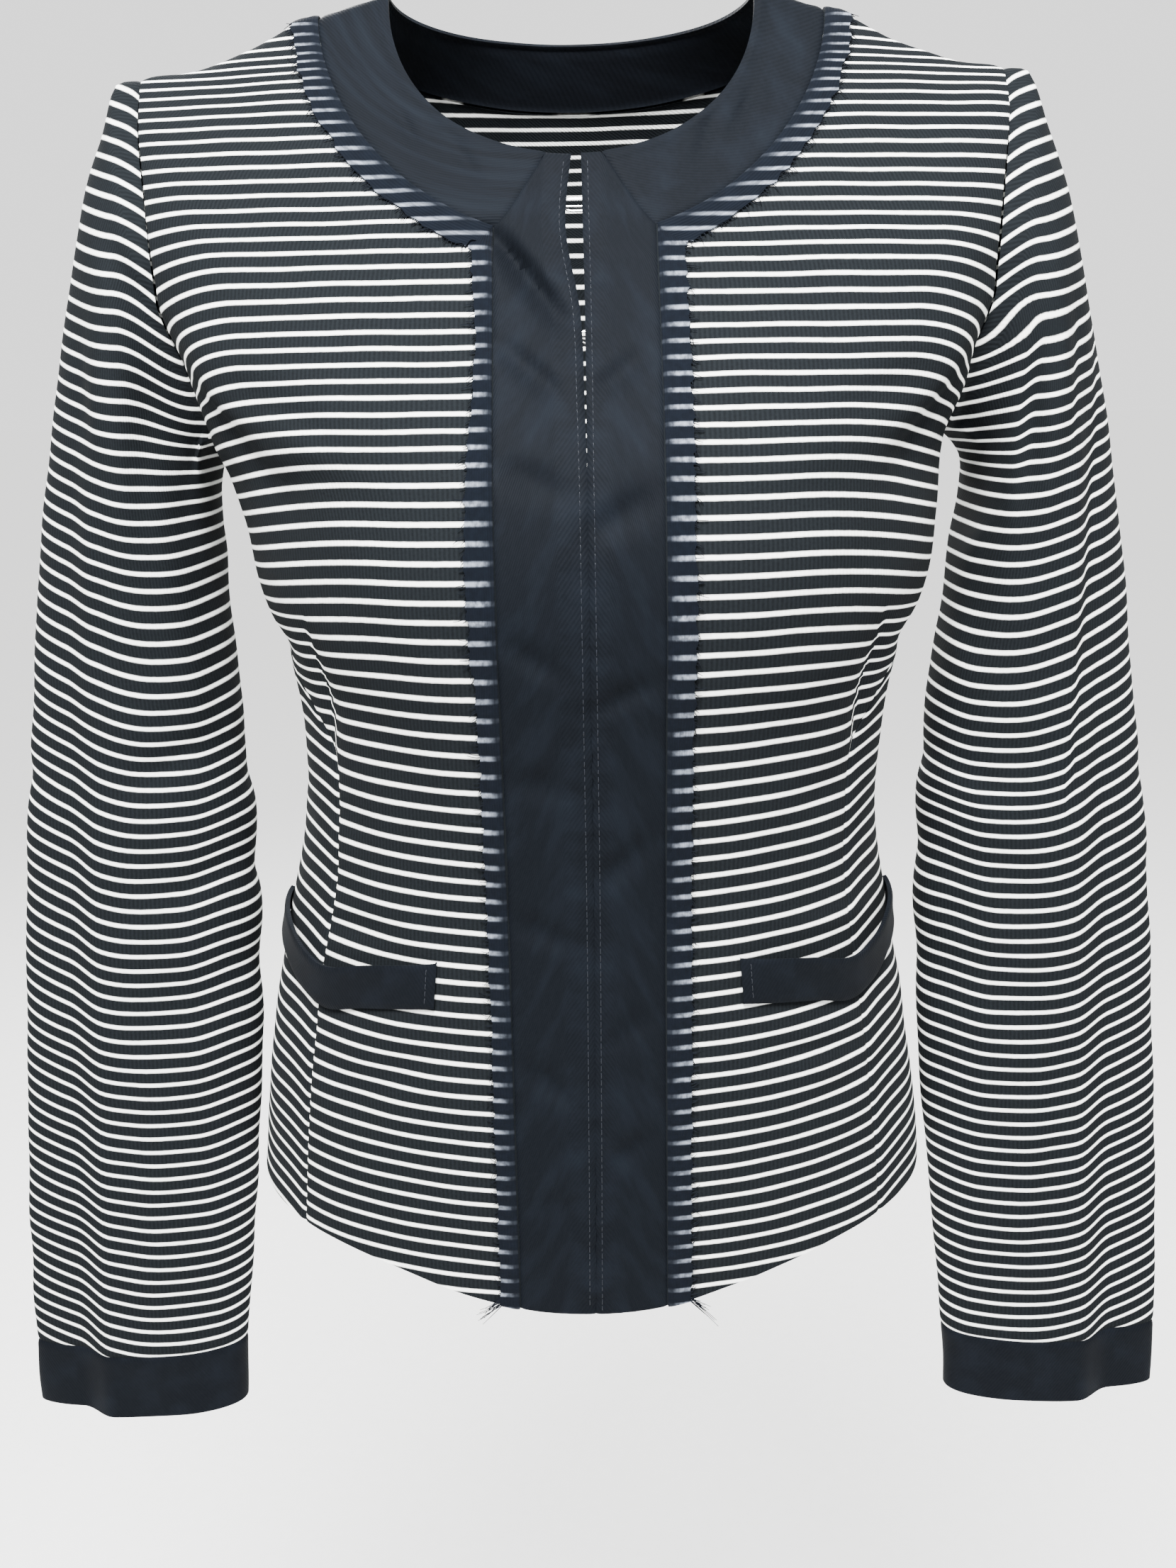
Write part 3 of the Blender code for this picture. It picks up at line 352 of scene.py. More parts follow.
# On the right sleeve the stripes also step down where soft upright folds run.
StripeStep = namedtuple("StripeStep", "x below_a below_b reach drop")
RIGHT_SLEEVE_STEPS = (
    StripeStep(0.2030, 0.115, 0.330, 0.0045, 0.0024),
    StripeStep(0.1905, 0.115, 0.185, 0.0040, 0.0018),
    StripeStep(0.1725, 0.112, 0.190, 0.0065, 0.0036),
)
STEP_BEGINS_OVER = 0.02
STEP_ENDS_OVER = 0.03
BACK_STRIPES_AT = radians(150)  # where round the back its stripes are just a repeat apart

# Creases: soft troughs, and ridges where the depth is below 0. They run between two
# places as seen from the front or back (x, z) or from a side (y, z).
Crease = namedtuple("Crease", "seen_from a0 z0 a1 z1 width depth")
CREASES = (
    # under the left arm
    Crease("front", -0.160, -0.112, -0.149, -0.215, 0.0115, 0.0140),
    Crease("front", -0.157, -0.120, -0.146, -0.165, 0.0050, 0.0050),
    Crease("front", -0.192, -0.100, -0.189, -0.200, 0.0050, 0.0018),
    Crease("front", -0.150, -0.190, -0.153, -0.300, 0.0060, 0.0030),
    Crease("front", -0.1440, -0.185, -0.1500, -0.330, 0.0014, 0.0008),
    Crease("front", -0.174, -0.088, -0.160, -0.122, 0.0050, 0.0026),
    # under the right arm, with soft upright folds down the sleeve
    Crease("front", 0.158, -0.110, 0.156, -0.245, 0.0105, 0.0135),
    Crease("front", 0.155, -0.120, 0.150, -0.190, 0.0045, 0.0050),
    Crease("front", 0.1650, -0.118, 0.168, -0.205, 0.0040, -0.0016),
    Crease("front", 0.1905, -0.115, 0.189, -0.195, 0.0040, 0.0018),
    Crease("front", 0.2030, -0.115, 0.206, -0.330, 0.0045, 0.0020),
    # down the sleeves
    Crease("front", -0.189, -0.200, -0.212, -0.330, 0.0060, 0.0015),
    Crease("front", -0.155, -0.283, -0.187, -0.301, 0.0060, 0.0013),
    Crease("front", -0.154, -0.342, -0.180, -0.352, 0.0060, 0.0011),
    Crease("front", -0.205, -0.430, -0.216, -0.560, 0.0080, 0.0012),
    Crease("front", 0.153, -0.302, 0.180, -0.313, 0.0060, 0.0014),
    Crease("front", 0.152, -0.372, 0.177, -0.366, 0.0060, 0.0010),
    Crease("front", 0.212, -0.400, 0.207, -0.545, 0.0080, 0.0013),
    Crease("back", -0.163, -0.130, -0.156, -0.225, 0.0100, 0.0060),
    Crease("back", 0.165, -0.126, 0.158, -0.240, 0.0090, 0.0064),
    Crease("back", -0.158, -0.300, -0.198, -0.318, 0.0080, 0.0018),
    Crease("back", 0.160, -0.286, 0.205, -0.310, 0.0070, 0.0016),
    Crease("back", 0.165, -0.350, 0.200, -0.343, 0.0080, 0.0014),
    # the chest, the waist and the pockets
    Crease("front", -0.128, -0.139, -0.088, -0.158, 0.0070, 0.0018),
    Crease("front", -0.113, -0.150, -0.085, -0.168, 0.0060, -0.0012),
    Crease("front", 0.128, -0.137, 0.092, -0.152, 0.0070, 0.0018),
    Crease("front", -0.118, -0.300, -0.085, -0.306, 0.0060, 0.0012),
    Crease("front", 0.112, -0.290, 0.080, -0.297, 0.0070, 0.0010),
    Crease("front", -0.113, -0.352, -0.075, -0.345, 0.0050, 0.0016),
    Crease("front", 0.121, -0.352, 0.078, -0.346, 0.0045, -0.0014),
    Crease("front", 0.119, -0.404, 0.072, -0.398, 0.0050, 0.0020),
    Crease("front", 0.128, -0.416, 0.090, -0.422, 0.0060, 0.0014),
    Crease("front", -0.062, -0.392, -0.102, -0.422, 0.0080, 0.0012),
    # the bands and the neckband
    Crease("front", -0.0310, -0.088, -0.0050, -0.121, 0.0042, 0.0070),
    Crease("front", -0.0290, -0.127, -0.0060, -0.146, 0.0040, 0.0036),
    Crease("front", -0.0280, -0.168, -0.0060, -0.178, 0.0051, 0.0023),
    Crease("front", -0.0280, -0.227, -0.0080, -0.241, 0.0043, 0.0023),
    Crease("front", -0.0270, -0.279, -0.0070, -0.284, 0.0059, 0.0019),
    Crease("front", -0.0260, -0.335, -0.0060, -0.346, 0.0051, 0.0023),
    Crease("front", -0.0250, -0.394, -0.0050, -0.412, 0.0051, 0.0025),
    Crease("front", -0.0240, -0.452, -0.0050, -0.458, 0.0059, 0.0016),
    Crease("front", 0.0050, -0.146, 0.0260, -0.131, 0.0043, 0.0025),
    Crease("front", 0.0040, -0.192, 0.0260, -0.178, 0.0051, 0.0023),
    Crease("front", 0.0040, -0.253, 0.0260, -0.243, 0.0043, 0.0023),
    Crease("front", 0.0050, -0.322, 0.0250, -0.302, 0.0051, 0.0023),
    Crease("front", 0.0050, -0.388, 0.0240, -0.374, 0.0059, 0.0019),
    Crease("front", 0.0050, -0.440, 0.0240, -0.424, 0.0051, 0.0023),
    Crease("front", 0.0600, -0.052, 0.0680, -0.036, 0.0020, 0.0019),
    Crease("front", 0.0460, -0.064, 0.0520, -0.046, 0.0020, 0.0016),
    Crease("front", -0.0580, -0.057, -0.0660, -0.042, 0.0022, 0.0016),
    Crease("front", -0.0350, -0.070, -0.0450, -0.055, 0.0022, 0.0014),
    # the back and the sides, in the same manner
    Crease("back", -0.070, -0.300, 0.050, -0.312, 0.0090, 0.0016),
    Crease("back", -0.050, -0.336, 0.080, -0.323, 0.0090, 0.0013),
    Crease("back", 0.030, -0.130, 0.104, -0.184, 0.0120, 0.0013),
    Crease("back", -0.034, -0.126, -0.100, -0.178, 0.0110, 0.0015),
    Crease("back", -0.062, -0.418, -0.020, -0.462, 0.0100, 0.0010),
    Crease("left", -0.030, -0.300, 0.050, -0.311, 0.0080, 0.0014),
    Crease("left", 0.000, -0.346, 0.060, -0.335, 0.0080, 0.0012),
    Crease("right", -0.020, -0.310, 0.055, -0.303, 0.0080, 0.0013),
    Crease("right", -0.010, -0.352, 0.040, -0.344, 0.0070, 0.0014),
)

CREASE_TAPER = 0.06  # how much of a half wave is cut off at each end of a crease
CREASE_BLUNTNESS = 0.8
CREASE_SHOULDER = 0.25  # how high the cloth stands beside a crease, as a share of its depth
SHOULDER_SPREAD = 6
FACING_GAIN = 2.0  # a crease is whole where the cloth faces its view by the inverse of this

SEAM_ROLL_REACH = 0.0030  # from how far off an edge rolls down into its seam
SEAM_ROLL_DROP = 0.0007
EDGE_STEPS = (0.0, 0.0005, 0.0012, 0.0022, 0.0036)  # rows and columns close to a seam
STATIONS = 1200  # how many points the body's length is measured on, and twice a sleeve's

# About how long each grid is, which sets how many cells it has.
FRONT_ACROSS = 0.125
PANEL_ACROSS = 0.095
PANEL_LEAD = 0.028  # from the armhole's underside down to the panel's first whole ring
BACK_ACROSS = 0.30
NECKBAND_DOWN = 0.034
NECKBAND_ROUND = 0.42
NECK_RIBBON = 0.17
WELT_ACROSS = 0.125
WELT_CELL = 0.002

SWELLS = 14  # waves that make the cloth uneven
SWELL_LENGTHS = (0.022, 0.080)
JERSEY_SWELL = 0.00035
CUFF_SWELL = 0.0003
BAND_SWELL = 0.0002

NECK_ROLL_RISE = 0.0006  # the turned edge round the neck: how high, how far from
NECK_ROLL_FROM_EDGE = 0.0024  # the edge, and how wide
NECK_ROLL_WIDTH = 0.0011
STITCH_SHARES = (0.070, 0.085, 0.100)  # a band's stitch line, between two beside it
STITCH_LENGTH = 0.0023
STITCH_PITCH = 0.0030
STITCH_RISES = (-0.0002, 0.00012, 0.00018, 0.00012, -0.0002)  # along one stitch
STITCH_RADIUS = 0.00017
WELT_STITCH_IN = 0.0028  # how far in from a welt's end its stitches run

# Where the topstitching puckers a band's front edge: how deep, how far in, and the
# lengths that one pucker, its wander and its swelling take.
PUCKER = 0.00045
PUCKER_REACH = 0.007
PUCKER_WAVE = 0.0017
PUCKER_WANDER, PUCKER_WANDER_BY = 0.019, 1.6
PUCKER_SWELLING, PUCKER_SWELLING_BY = 0.031, 0.4

RIBBON_ANGLE = 0.2  # about where round the body the upright ribbon lies
RIBBON_CELL_ALONG = 0.0022
RIBBON_CELL_ACROSS = 0.0015
RIBBON_RAGGED = (0.95, 0.07)  # the ribbon's width as a share, and how much it varies
# How much of it is turned under: round one height on the chest, and lower down.
TurnedUnder = namedtuple("TurnedUnder", "chest low")
TURNED_UNDER = {"left": TurnedUnder(0.42, 0.24), "right": TurnedUnder(0.0, 0.06)}
TURNED_CHEST_BELOW = 0.122
TURNED_CHEST_TALL = 0.032
TURNED_LOW_BELOW = 0.20
TURNED_LOW_REACH = 0.06

FRINGE_START = 0.0008
FRINGE_PITCH = 0.0009
FRINGE_SCATTER = 0.0004
FRINGE_LENGTHS = (0.0008, 0.0030)
FRINGE_STRETCH = (1.0, 1.0, 1.5)  # one thread in three is half as long again
FRINGE_LEAN = 0.9
FRINGE_CURL = 0.5
FRINGE_RISE = 0.16
FRINGE_DROOP = 0.22
FRINGE_STATIONS = 4
FRINGE_RADII = (0.00020, 0.00011)  # at a thread's root and at its end
FRINGE_ROOT = 0.0004  # how far in from the edge a thread starts
FRINGE_SUNK = 0.0003  # and how far below the ribbon's face
TAIL_THREADS = 14  # longer threads at the ribbon's lower end
TAIL_REACH = (0.0002, 0.0045)
TAIL_LENGTHS = (0.004, 0.009)
TAIL_LEAN = 0.8

# The camera: a photograph's view, level with the upper chest and looking down
EYE = Vector((0.0012, -0.65, -0.131))
LOOKS_DOWN = radians(15.8)
CAMERA_ROLL = radians(-1.0)
LENS_MM = 35.06
SENSOR_MM = 36.0

# The lights all aim at the body's middle. power is a share of the key light's.
Lamp = namedtuple("Lamp", "name place size power")
LAMPS = (
    Lamp("key", (-0.12, -1.05, 1.0), 0.7, 1.0),
    Lamp("fill", (1.4, -1.3, 0.4), 1.6, 0.06),
    Lamp("back", (-0.5, 2.0, 1.2), 1.2, 0.75),
)
LAMPS_AIM = Vector((0.0, 0.0, -0.25))
FLOOR_SIZE = 60.0

SEED = 7
RIBBON_SEED = 9
FRINGE_SEED = 18
SHARP_ANGLE = radians(50)


# ---------------------------------------------------------------- curves through tables
class SmoothCurve:
    """A curve through (key, value) points that never overshoots them."""

    def __init__(self, keys, values):
        self.keys = np.array(keys, float)
        self.values = np.array(values, float)
        rises = np.diff(self.values) / np.diff(self.keys)
        before, after = rises[:-1], rises[1:]
        gentle = np.minimum(abs(before + after) / 2, 3 * np.minimum(abs(before), abs(after)))
        inner = np.where(before * after > 0, np.sign(before) * gentle, 0.0)
        self.slopes = np.concatenate((rises[:1], inner, rises[-1:]))

    def __call__(self, key):
        key = np.asarray(key, float)
        at = np.clip(np.searchsorted(self.keys, key) - 1, 0, len(self.keys) - 2)
        span = self.keys[at + 1] - self.keys[at]
        t = np.clip((key - self.keys[at]) / span, -0.5, 1.5)
        keep = (1 + 2 * t) * (1 - t) ** 2
        rise = t * (1 - t) ** 2 * span * self.slopes[at]
        fall = t * t * (t - 1) * span * self.slopes[at + 1]
        return keep * self.values[at] + (1 - keep) * self.values[at + 1] + rise + fall


def columns(rows, keys=None):
    """One curve for each named column of a table, against the keys or the row's number."""
    keys = range(len(rows)) if keys is None else keys
    names = rows[0]._fields
    return {name: SmoothCurve(keys, [getattr(row, name) for row in rows]) for name in names}


def columns_by_first(rows):
    return columns(rows, [row[0] for row in rows])


RING = columns(RINGS)
SEAM = columns_by_first(SEAM_ANGLES)
EDGE = columns_by_first(FRONT_EDGES)
SLEEVE = columns(SLEEVE_RINGS)
WELT = columns_by_first(WELT_STATIONS)
STRIPE_NUMBER = columns_by_first(STRIPE_LEVELS)["number"]
STRIPE_SINK = columns_by_first(STRIPE_SINKS)
DART_LIFT = columns_by_first(DART_LIFTS)["lift"]
SLEEVE_LEVEL = columns_by_first(SLEEVE_LEVELS)
SLIMMING = columns_by_first(LEFT_SLIMMING)["inward"]


def smooth_step(t):
    """An even rise from 0 to 1 that starts and ends gently."""
    t = np.clip(t, 0.0, 1.0)
    return t * t * (3 - 2 * t)


def signed_power(value, power):
    return np.abs(value) ** power * np.where(value >= 0, 1.0, -1.0)


def unit(vectors):
    return vectors / np.maximum(np.linalg.norm(vectors, axis=-1, keepdims=True), 1e-12)


def tapered(along, cut_off):
    """Half a wave from 0 to 1 along, with a share of it cut off at each end."""
    return np.sin(pi * (cut_off + (1 - 2 * cut_off) * along))


# ---------------------------------------------------------------- the body's surface
def fall_share(across, late):
    """How far a ring has dropped from the side, 0, to the front or back, 1."""
    rounding = 0.05
    low = rounding**late
    high = (1 + rounding**2) ** (late / 2)
    return ((across**2 + rounding**2) ** (late / 2) - low) / (high - low)


def plain_body(angle, ring):
    """The body without folds. angle is 0 at the centre front and pi at the back."""
    angle, ring = np.broadcast_arrays(np.asarray(angle, float), np.asarray(ring, float))
    half, power = RING["half"](ring), 2 / RING["square"](ring)
    ahead = np.cos(angle)
    to_front = ahead > 0
    depth = np.where(to_front, RING["front"](ring), RING["back"](ring))
    centre_z = np.where(to_front, RING["front_z"](ring), RING["back_z"](ring))
    side_z = RING["side_z"](ring)
    drop = (centre_z - side_z) * fall_share(np.abs(ahead), RING["fall"](ring))
    x = half * signed_power(np.sin(angle), power)
    return np.stack((x, -depth * signed_power(ahead, power), side_z + drop), axis=-1)


def segment_distance(across, height, a0, h0, a1, h1):
    """Distance from each place to a segment, and how far along it, 0 to 1."""
    run, rise = a1 - a0, h1 - h0
    along = np.clip(((across - a0) * run + (height - h0) * rise) / (run**2 + rise**2), 0, 1)
    return np.hypot(across - a0 - run * along, height - h0 - rise * along), along


def fold_depth(angle, points):
    """How deep the part's own troughs are at these places of the body."""
    least_reach = 0.08
    reach = np.maximum(np.maximum(abs(points[..., 0]), abs(points[..., 1])), least_reach)
    turn = np.abs(angle) * reach
    total = np.zeros(points.shape[:-1])
    for fold in BODY_FOLDS:
        a0, a1 = radians(fold.angle_a) * reach, radians(fold.angle_b) * reach
        off, along = segment_distance(turn, -points[..., 2], a0, fold.below_a, a1, fold.below_b)
        total += fold.depth * tapered(along, FOLD_TAPER) * np.exp(-((off / fold.width) ** 2))
    return total


def body_point(angle, ring):
    """The body with its bust and its own troughs."""
    angle, ring = np.broadcast_arrays(np.asarray(angle, float), np.asarray(ring, float))
    points = plain_body(angle, ring)
    outward = np.stack((np.sin(angle), -np.cos(angle), np.zeros(angle.shape)), axis=-1)
    across = (np.abs(points[..., 0]) - BUST.x) / BUST.wide
    up = (points[..., 2] - BUST.z) / BUST.tall
    swell = BUST.rise * np.exp(-(across**2) - up**2)
    points[..., 1] -= np.where(points[..., 1] > 0, 0.0, swell)
    return points - outward * fold_depth(angle, points)[..., None]


def slimmed(points):
    """The grid with what lies left of the centre front drawn in by the left slimming."""
    points = points.copy()
    reach = (-points[..., 0] - SLIMMING_START) / (SLIMMING_FULL - SLIMMING_START)
    points[..., 0] += SLIMMING(-points[..., 2]) * smooth_step(reach)
    return points


def body_normal(angle, ring):
    """Which way the body faces, from places a small step to each side."""
    step = 0.01
    turned = body_point(angle + step, ring) - body_point(angle - step, ring)
    lower = body_point(angle, ring + step) - body_point(angle, ring - step)
    return unit(np.cross(lower, turned))


def body_grid(angle, ring):
    return body_point(angle, ring), body_normal(angle, ring)


def angle_at_x(x, ring):
    """The angle at which a ring's front passes x."""
    share = np.minimum(np.abs(x) / RING["half"](ring), 1.0)
    return np.arcsin(share ** (RING["square"](ring) / 2)) * np.where(np.asarray(x) < 0, -1, 1)


def ring_at_height(angle, height):
    """The ring that lies at this height on the body, at this angle."""
    halvings = 22
    low = np.zeros(np.broadcast(angle, height).shape)
    high = low + HEM_RING
    for _ in range(halvings):
        middle = (low + high) / 2
        above = plain_body(angle, middle)[..., 2] > height
        low = np.where(above, middle, low)
        high = np.where(above, high, middle)
    return low


def armhole_reach(turn):
    """Half the armhole's width, as an angle, at a turn of it."""
    power = np.where(np.cos(turn) > 0, ARMHOLE_FRONT_POWER, ARMHOLE_BACK_POWER)
    return ARMHOLE_SPREAD * (1 - np.abs(np.cos(turn)) ** power) ** (1 / power)


def armhole_place(turn):
    """(angle, ring) of the armhole's edge. turn runs from 0 at the shoulder tip over
    pi at the underarm, by way of the front, to 2 pi."""
    turn = np.asarray(turn, float)
    ring = SHOULDER_TIP_RING + (UNDERARM_RING - SHOULDER_TIP_RING) * (1 - np.cos(turn)) / 2
    return pi / 2 - armhole_reach(turn) * np.where(turn <= pi, 1, -1), ring


def armhole_turn(ring):
    """The turn, up to pi, at which the armhole passes a ring."""
    share = (ring - SHOULDER_TIP_RING) / (UNDERARM_RING - SHOULDER_TIP_RING)
    return np.arccos(np.clip(1 - 2 * share, -1, 1))


def front_seam_angle(ring):
    """Where the front meets the side panel."""
    guess = np.full(np.shape(ring), pi / 2)
    for _ in range(4):
        guess = np.radians(SEAM["front_seam"](-plain_body(guess, ring)[..., 2]))
    return guess


def back_seam_angle(ring):
    """Where the back meets the shoulder seam, the armhole or the side panel."""
    top_angle, top_ring = armhole_place(SIDE_TOP_TURN)
    share = smooth_step((ring - top_ring) / SIDE_BLEND_RINGS)
    wanted = np.radians(SEAM["back_seam"](-plain_body(pi / 2, ring)[..., 2]))
    at_armhole = pi / 2 + armhole_reach(armhole_turn(ring))
    below = top_angle + (wanted - top_angle) * share
    return np.where(ring <= top_ring, at_armhole, below)


def front_end_angle(ring):
    """Where a row of the front ends: shoulder seam, armhole or side panel."""
    at_armhole = pi / 2 - armhole_reach(armhole_turn(ring))
    return np.where(ring <= UNDERARM_RING, at_armhole, front_seam_angle(ring))


def mitre_x(ring):
    """How far from the centre front the mitre of band and neckband lies."""
    return BAND_TOP_EDGE + (BAND_WIDTH - BAND_TOP_EDGE) * ring


# ---------------------------------------------------------------- fine grids
def fine_shares(length, cell):
    """Shares from 0 to 1 along a length: even steps, and close ones at both ends."""
    near = np.array(EDGE_STEPS) / length
    count = max(int(length / cell), 2)
    inner = np.linspace(near[-1], 1 - near[-1], count + 1)[1:-1]
    return np.concatenate((near, inner, 1 - near[::-1]))


def fine_rings(first, last, angles, cell):
    """Rings between two, spaced by the cloth's length at the widest-spaced angle."""
    dense = np.linspace(first, last, STATIONS)
    steps = np.zeros(len(dense) - 1)
    for angle in angles:
        path = body_point(angle(dense), dense)
        steps = np.maximum(steps, np.linalg.norm(np.diff(path, axis=0), axis=-1))
    length = np.concatenate(([0.0], np.cumsum(steps)))
    return np.interp(fine_shares(length[-1], cell) * length[-1], length, dense)


def grid_normals(points, closed_round=False):
    if closed_round:
        wrapped = np.concatenate((points[:, -1:], points, points[:, :1]), axis=1)
        across = (wrapped[:, 2:] - wrapped[:, :-2]) / 2
    else:
        across = np.gradient(points, axis=1)
    return unit(np.cross(np.gradient(points, axis=0), across))


def parted(points, first_row=True, last_row=True, first_column=True, last_column=True):
    """The grid with its chosen edges drawn in by half a seam gap."""
    points = points.copy()

    def draw_in(edge, inner):
        return edge + unit(inner - edge) * SEAM_GAP / 2

    if first_row:
        points[0] = draw_in(points[0], points[1])
    if last_row:
        points[-1] = draw_in(points[-1], points[-2])
    if first_column:
        points[:, 0] = draw_in(points[:, 0], points[:, 1])
    if last_column:
        points[:, -1] = draw_in(points[:, -1], points[:, -2])
    return points


def running_length(points, axis):
    """The cloth's length from the first row or column to each point."""
    steps = np.linalg.norm(np.diff(points, axis=axis), axis=-1)
    pad = ((1, 0), (0, 0)) if axis == 0 else ((0, 0), (1, 0))
    return np.pad(np.cumsum(steps, axis=axis), pad)


def path_length(path):
    """The length from the first point of a path to each point."""
    return running_length(path[:, None], 0)[:, 0]


def read_along(at, length, values):
    """Points or directions of a path, read at these lengths along it."""
    return np.stack([np.interp(at, length, values[:, axis]) for axis in range(3)], axis=-1)


def rolled(points, normals, edges):
    """Draws the chosen edges down, so that two pieces meet in a groove."""
    down, over = running_length(points, 0), running_length(points, 1)
    distances = {
        "top": down,
        "bottom": down[-1:] - down,
        "first": over,
        "last": over[:, -1:] - over,
    }
    near = np.zeros(points.shape[:2])
    for edge in edges:
        near = np.maximum(near, np.clip(1 - distances[edge] / SEAM_ROLL_REACH, 0, 1) ** 2)
    return points - normals * (near * SEAM_ROLL_DROP)[..., None]


# ---------------------------------------------------------------- creases
# The axes that a view looks across and along, and the side that it sees.
View = namedtuple("View", "across facing sign")
VIEWS = {
    "front": View(0, 1, -1),
    "back": View(0, 1, 1),
    "left": View(1, 0, -1),
    "right": View(1, 0, 1),
}


def crease_shift(points, normals):
    """How far the creases push the cloth back from where they are seen: troughs with
    low shoulders beside them."""
    total = np.zeros(points.shape)
    for crease in CREASES:
        view = VIEWS[crease.seen_from]
        gate = smooth_step(normals[..., view.facing] * view.sign * FACING_GAIN)
        across, height = points[..., view.across], points[..., 2]
        off, along = segment_distance(across, height, crease.a0, crease.z0, crease.a1, crease.z1)
        off /= crease.width
        taper = tapered(along, CREASE_TAPER) ** CREASE_BLUNTNESS
        shoulder = CREASE_SHOULDER * np.exp(-(off**2) / SHOULDER_SPREAD)
        trough = (1 + CREASE_SHOULDER) * np.exp(-(off**2)) - shoulder
        total[..., view.facing] -= view.sign * crease.depth * gate * taper * trough
    return total


def unevenness(points, size):
    """The small swells that any worn cloth has, the same on each run."""
    chance = np.random.default_rng(SEED)
    total = np.zeros(points.shape[:-1])
    for _ in range(SWELLS):
        wave = unit(chance.normal(size=3)) * 2 * pi / chance.uniform(*SWELL_LENGTHS)
        total += np.sin(points @ wave + chance.uniform(0, 2 * pi))
    return total * size / SWELLS**0.5


def worn(points, normals, size=JERSEY_SWELL):
    """The cloth with its creases and small swells."""
    return points + crease_shift(points, normals) - normals * unevenness(points, size)[..., None]


# ---------------------------------------------------------------- meshes
def wall_mesh(name, outer, thickness, cloth_map, closed_round):
    """A closed wall: the outer points, the inner ones, and the edges between them. Its
    cloth map may be a column wider than the wall, where that is closed round."""
    rows, wide = outer.shape[:2]
    normals = outward_normals(outer, grid_normals(outer, closed_round))
    points = np.concatenate((outer.reshape(-1, 3), (outer - normals * thickness).reshape(-1, 3)))
    map_wide = cloth_map.shape[1]
    cells = wide if closed_round else wide - 1
    cell_grid = np.meshgrid(np.arange(rows - 1), np.arange(cells), indexing="ij")
    row, column = (numbers.ravel() for numbers in cell_grid)
    corner_rows = np.stack((row, row, row + 1, row + 1), 1)
    corner_columns = np.stack((column, column + 1, column + 1, column), 1)
    over, down = np.arange(cells), np.arange(rows - 1)
    last_row, last_column = np.full(cells, rows - 1), np.full(rows - 1, wide - 1)
    first_row, first_column = np.zeros(cells, int), np.zeros(rows - 1, int)
    # each rim as rows and columns of where its edges start, and of where they end
    rims = [(first_row, over + 1, first_row, over), (last_row, over, last_row, over + 1)]
    if not closed_round:
        rims.append((down, first_column, down + 1, first_column))
        rims.append((down + 1, last_column, down, last_column))
    rim_rows = np.concatenate([np.stack((a, b, b, a), 1) for a, _, b, _ in rims])
    rim_columns = np.concatenate([np.stack((a, b, b, a), 1) for _, a, _, b in rims])
    shift = rows * wide
    outside = corner_rows * wide + corner_columns % wide
    rim = rim_rows * wide + rim_columns % wide + np.array((0, 0, shift, shift))
    faces = np.concatenate((outside, outside[:, ::-1] + shift, rim))
    map_outside = corner_rows * map_wide + corner_columns
    map_rim = rim_rows * map_wide + rim_columns
    map_places = np.concatenate((map_outside, map_outside[:, ::-1], map_rim))
    mesh = mesh_from(name, points, faces.tolist())
    layer = mesh.uv_layers.new(name="Cloth")
    layer.data.foreach_set("uv", cloth_map.reshape(-1, 2)[map_places.ravel()].ravel())
    if signed_volume(points, faces) < 0:
        mesh.flip_normals()
    return mesh


def outward_normals(points, normals):
    """Turns a grid's normals so that they point away from the piece's hollow side."""
    from_centre = points - points.reshape(-1, 3).mean(axis=0)
    from_axis = points * np.array((1.0, 1.0, 0.0))
    vote = np.sum(normals * from_centre) + np.sum(normals * from_axis)
    return normals if vote > 0 else -normals


def mesh_from(name, points, faces):
    mesh = bpy.data.meshes.new(name)
    mesh.from_pydata(points.reshape(-1, 3).tolist(), [], faces)
    return mesh


def signed_volume(points, faces):
    a, b, c, d = (points[faces[:, k]] for k in range(4))
    return np.sum(a * np.cross(b, c)) + np.sum(a * np.cross(c, d))


def make_piece(name, mesh, look, replaces=()):
    """An object that rides on the jacket, with its finish and the nodes it stands for."""
    mesh.materials.append(look)
    mesh.shade_smooth()
    mesh.set_sharp_from_angle(angle=SHARP_ANGLE)
    piece = bpy.data.objects.new(name, mesh)
    bpy.context.scene.collection.objects.link(piece)
    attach(piece, "root")
    if replaces:
        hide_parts(*replaces)
    return piece


def make_cloth(name, outer, cloth_map, slot, closed_round=False):
    """A piece of cloth with its slot's thickness and finish, in place of the part of that name."""
    thickness = getattr(bpy.context.scene.jacket_cloth, f"{slot}_wall")
    mesh = wall_mesh(name, outer, thickness, cloth_map, closed_round)
    piece = make_piece(f"{name}_cloth", mesh, finish(CLOTH_FINISHES[slot]), (name,))


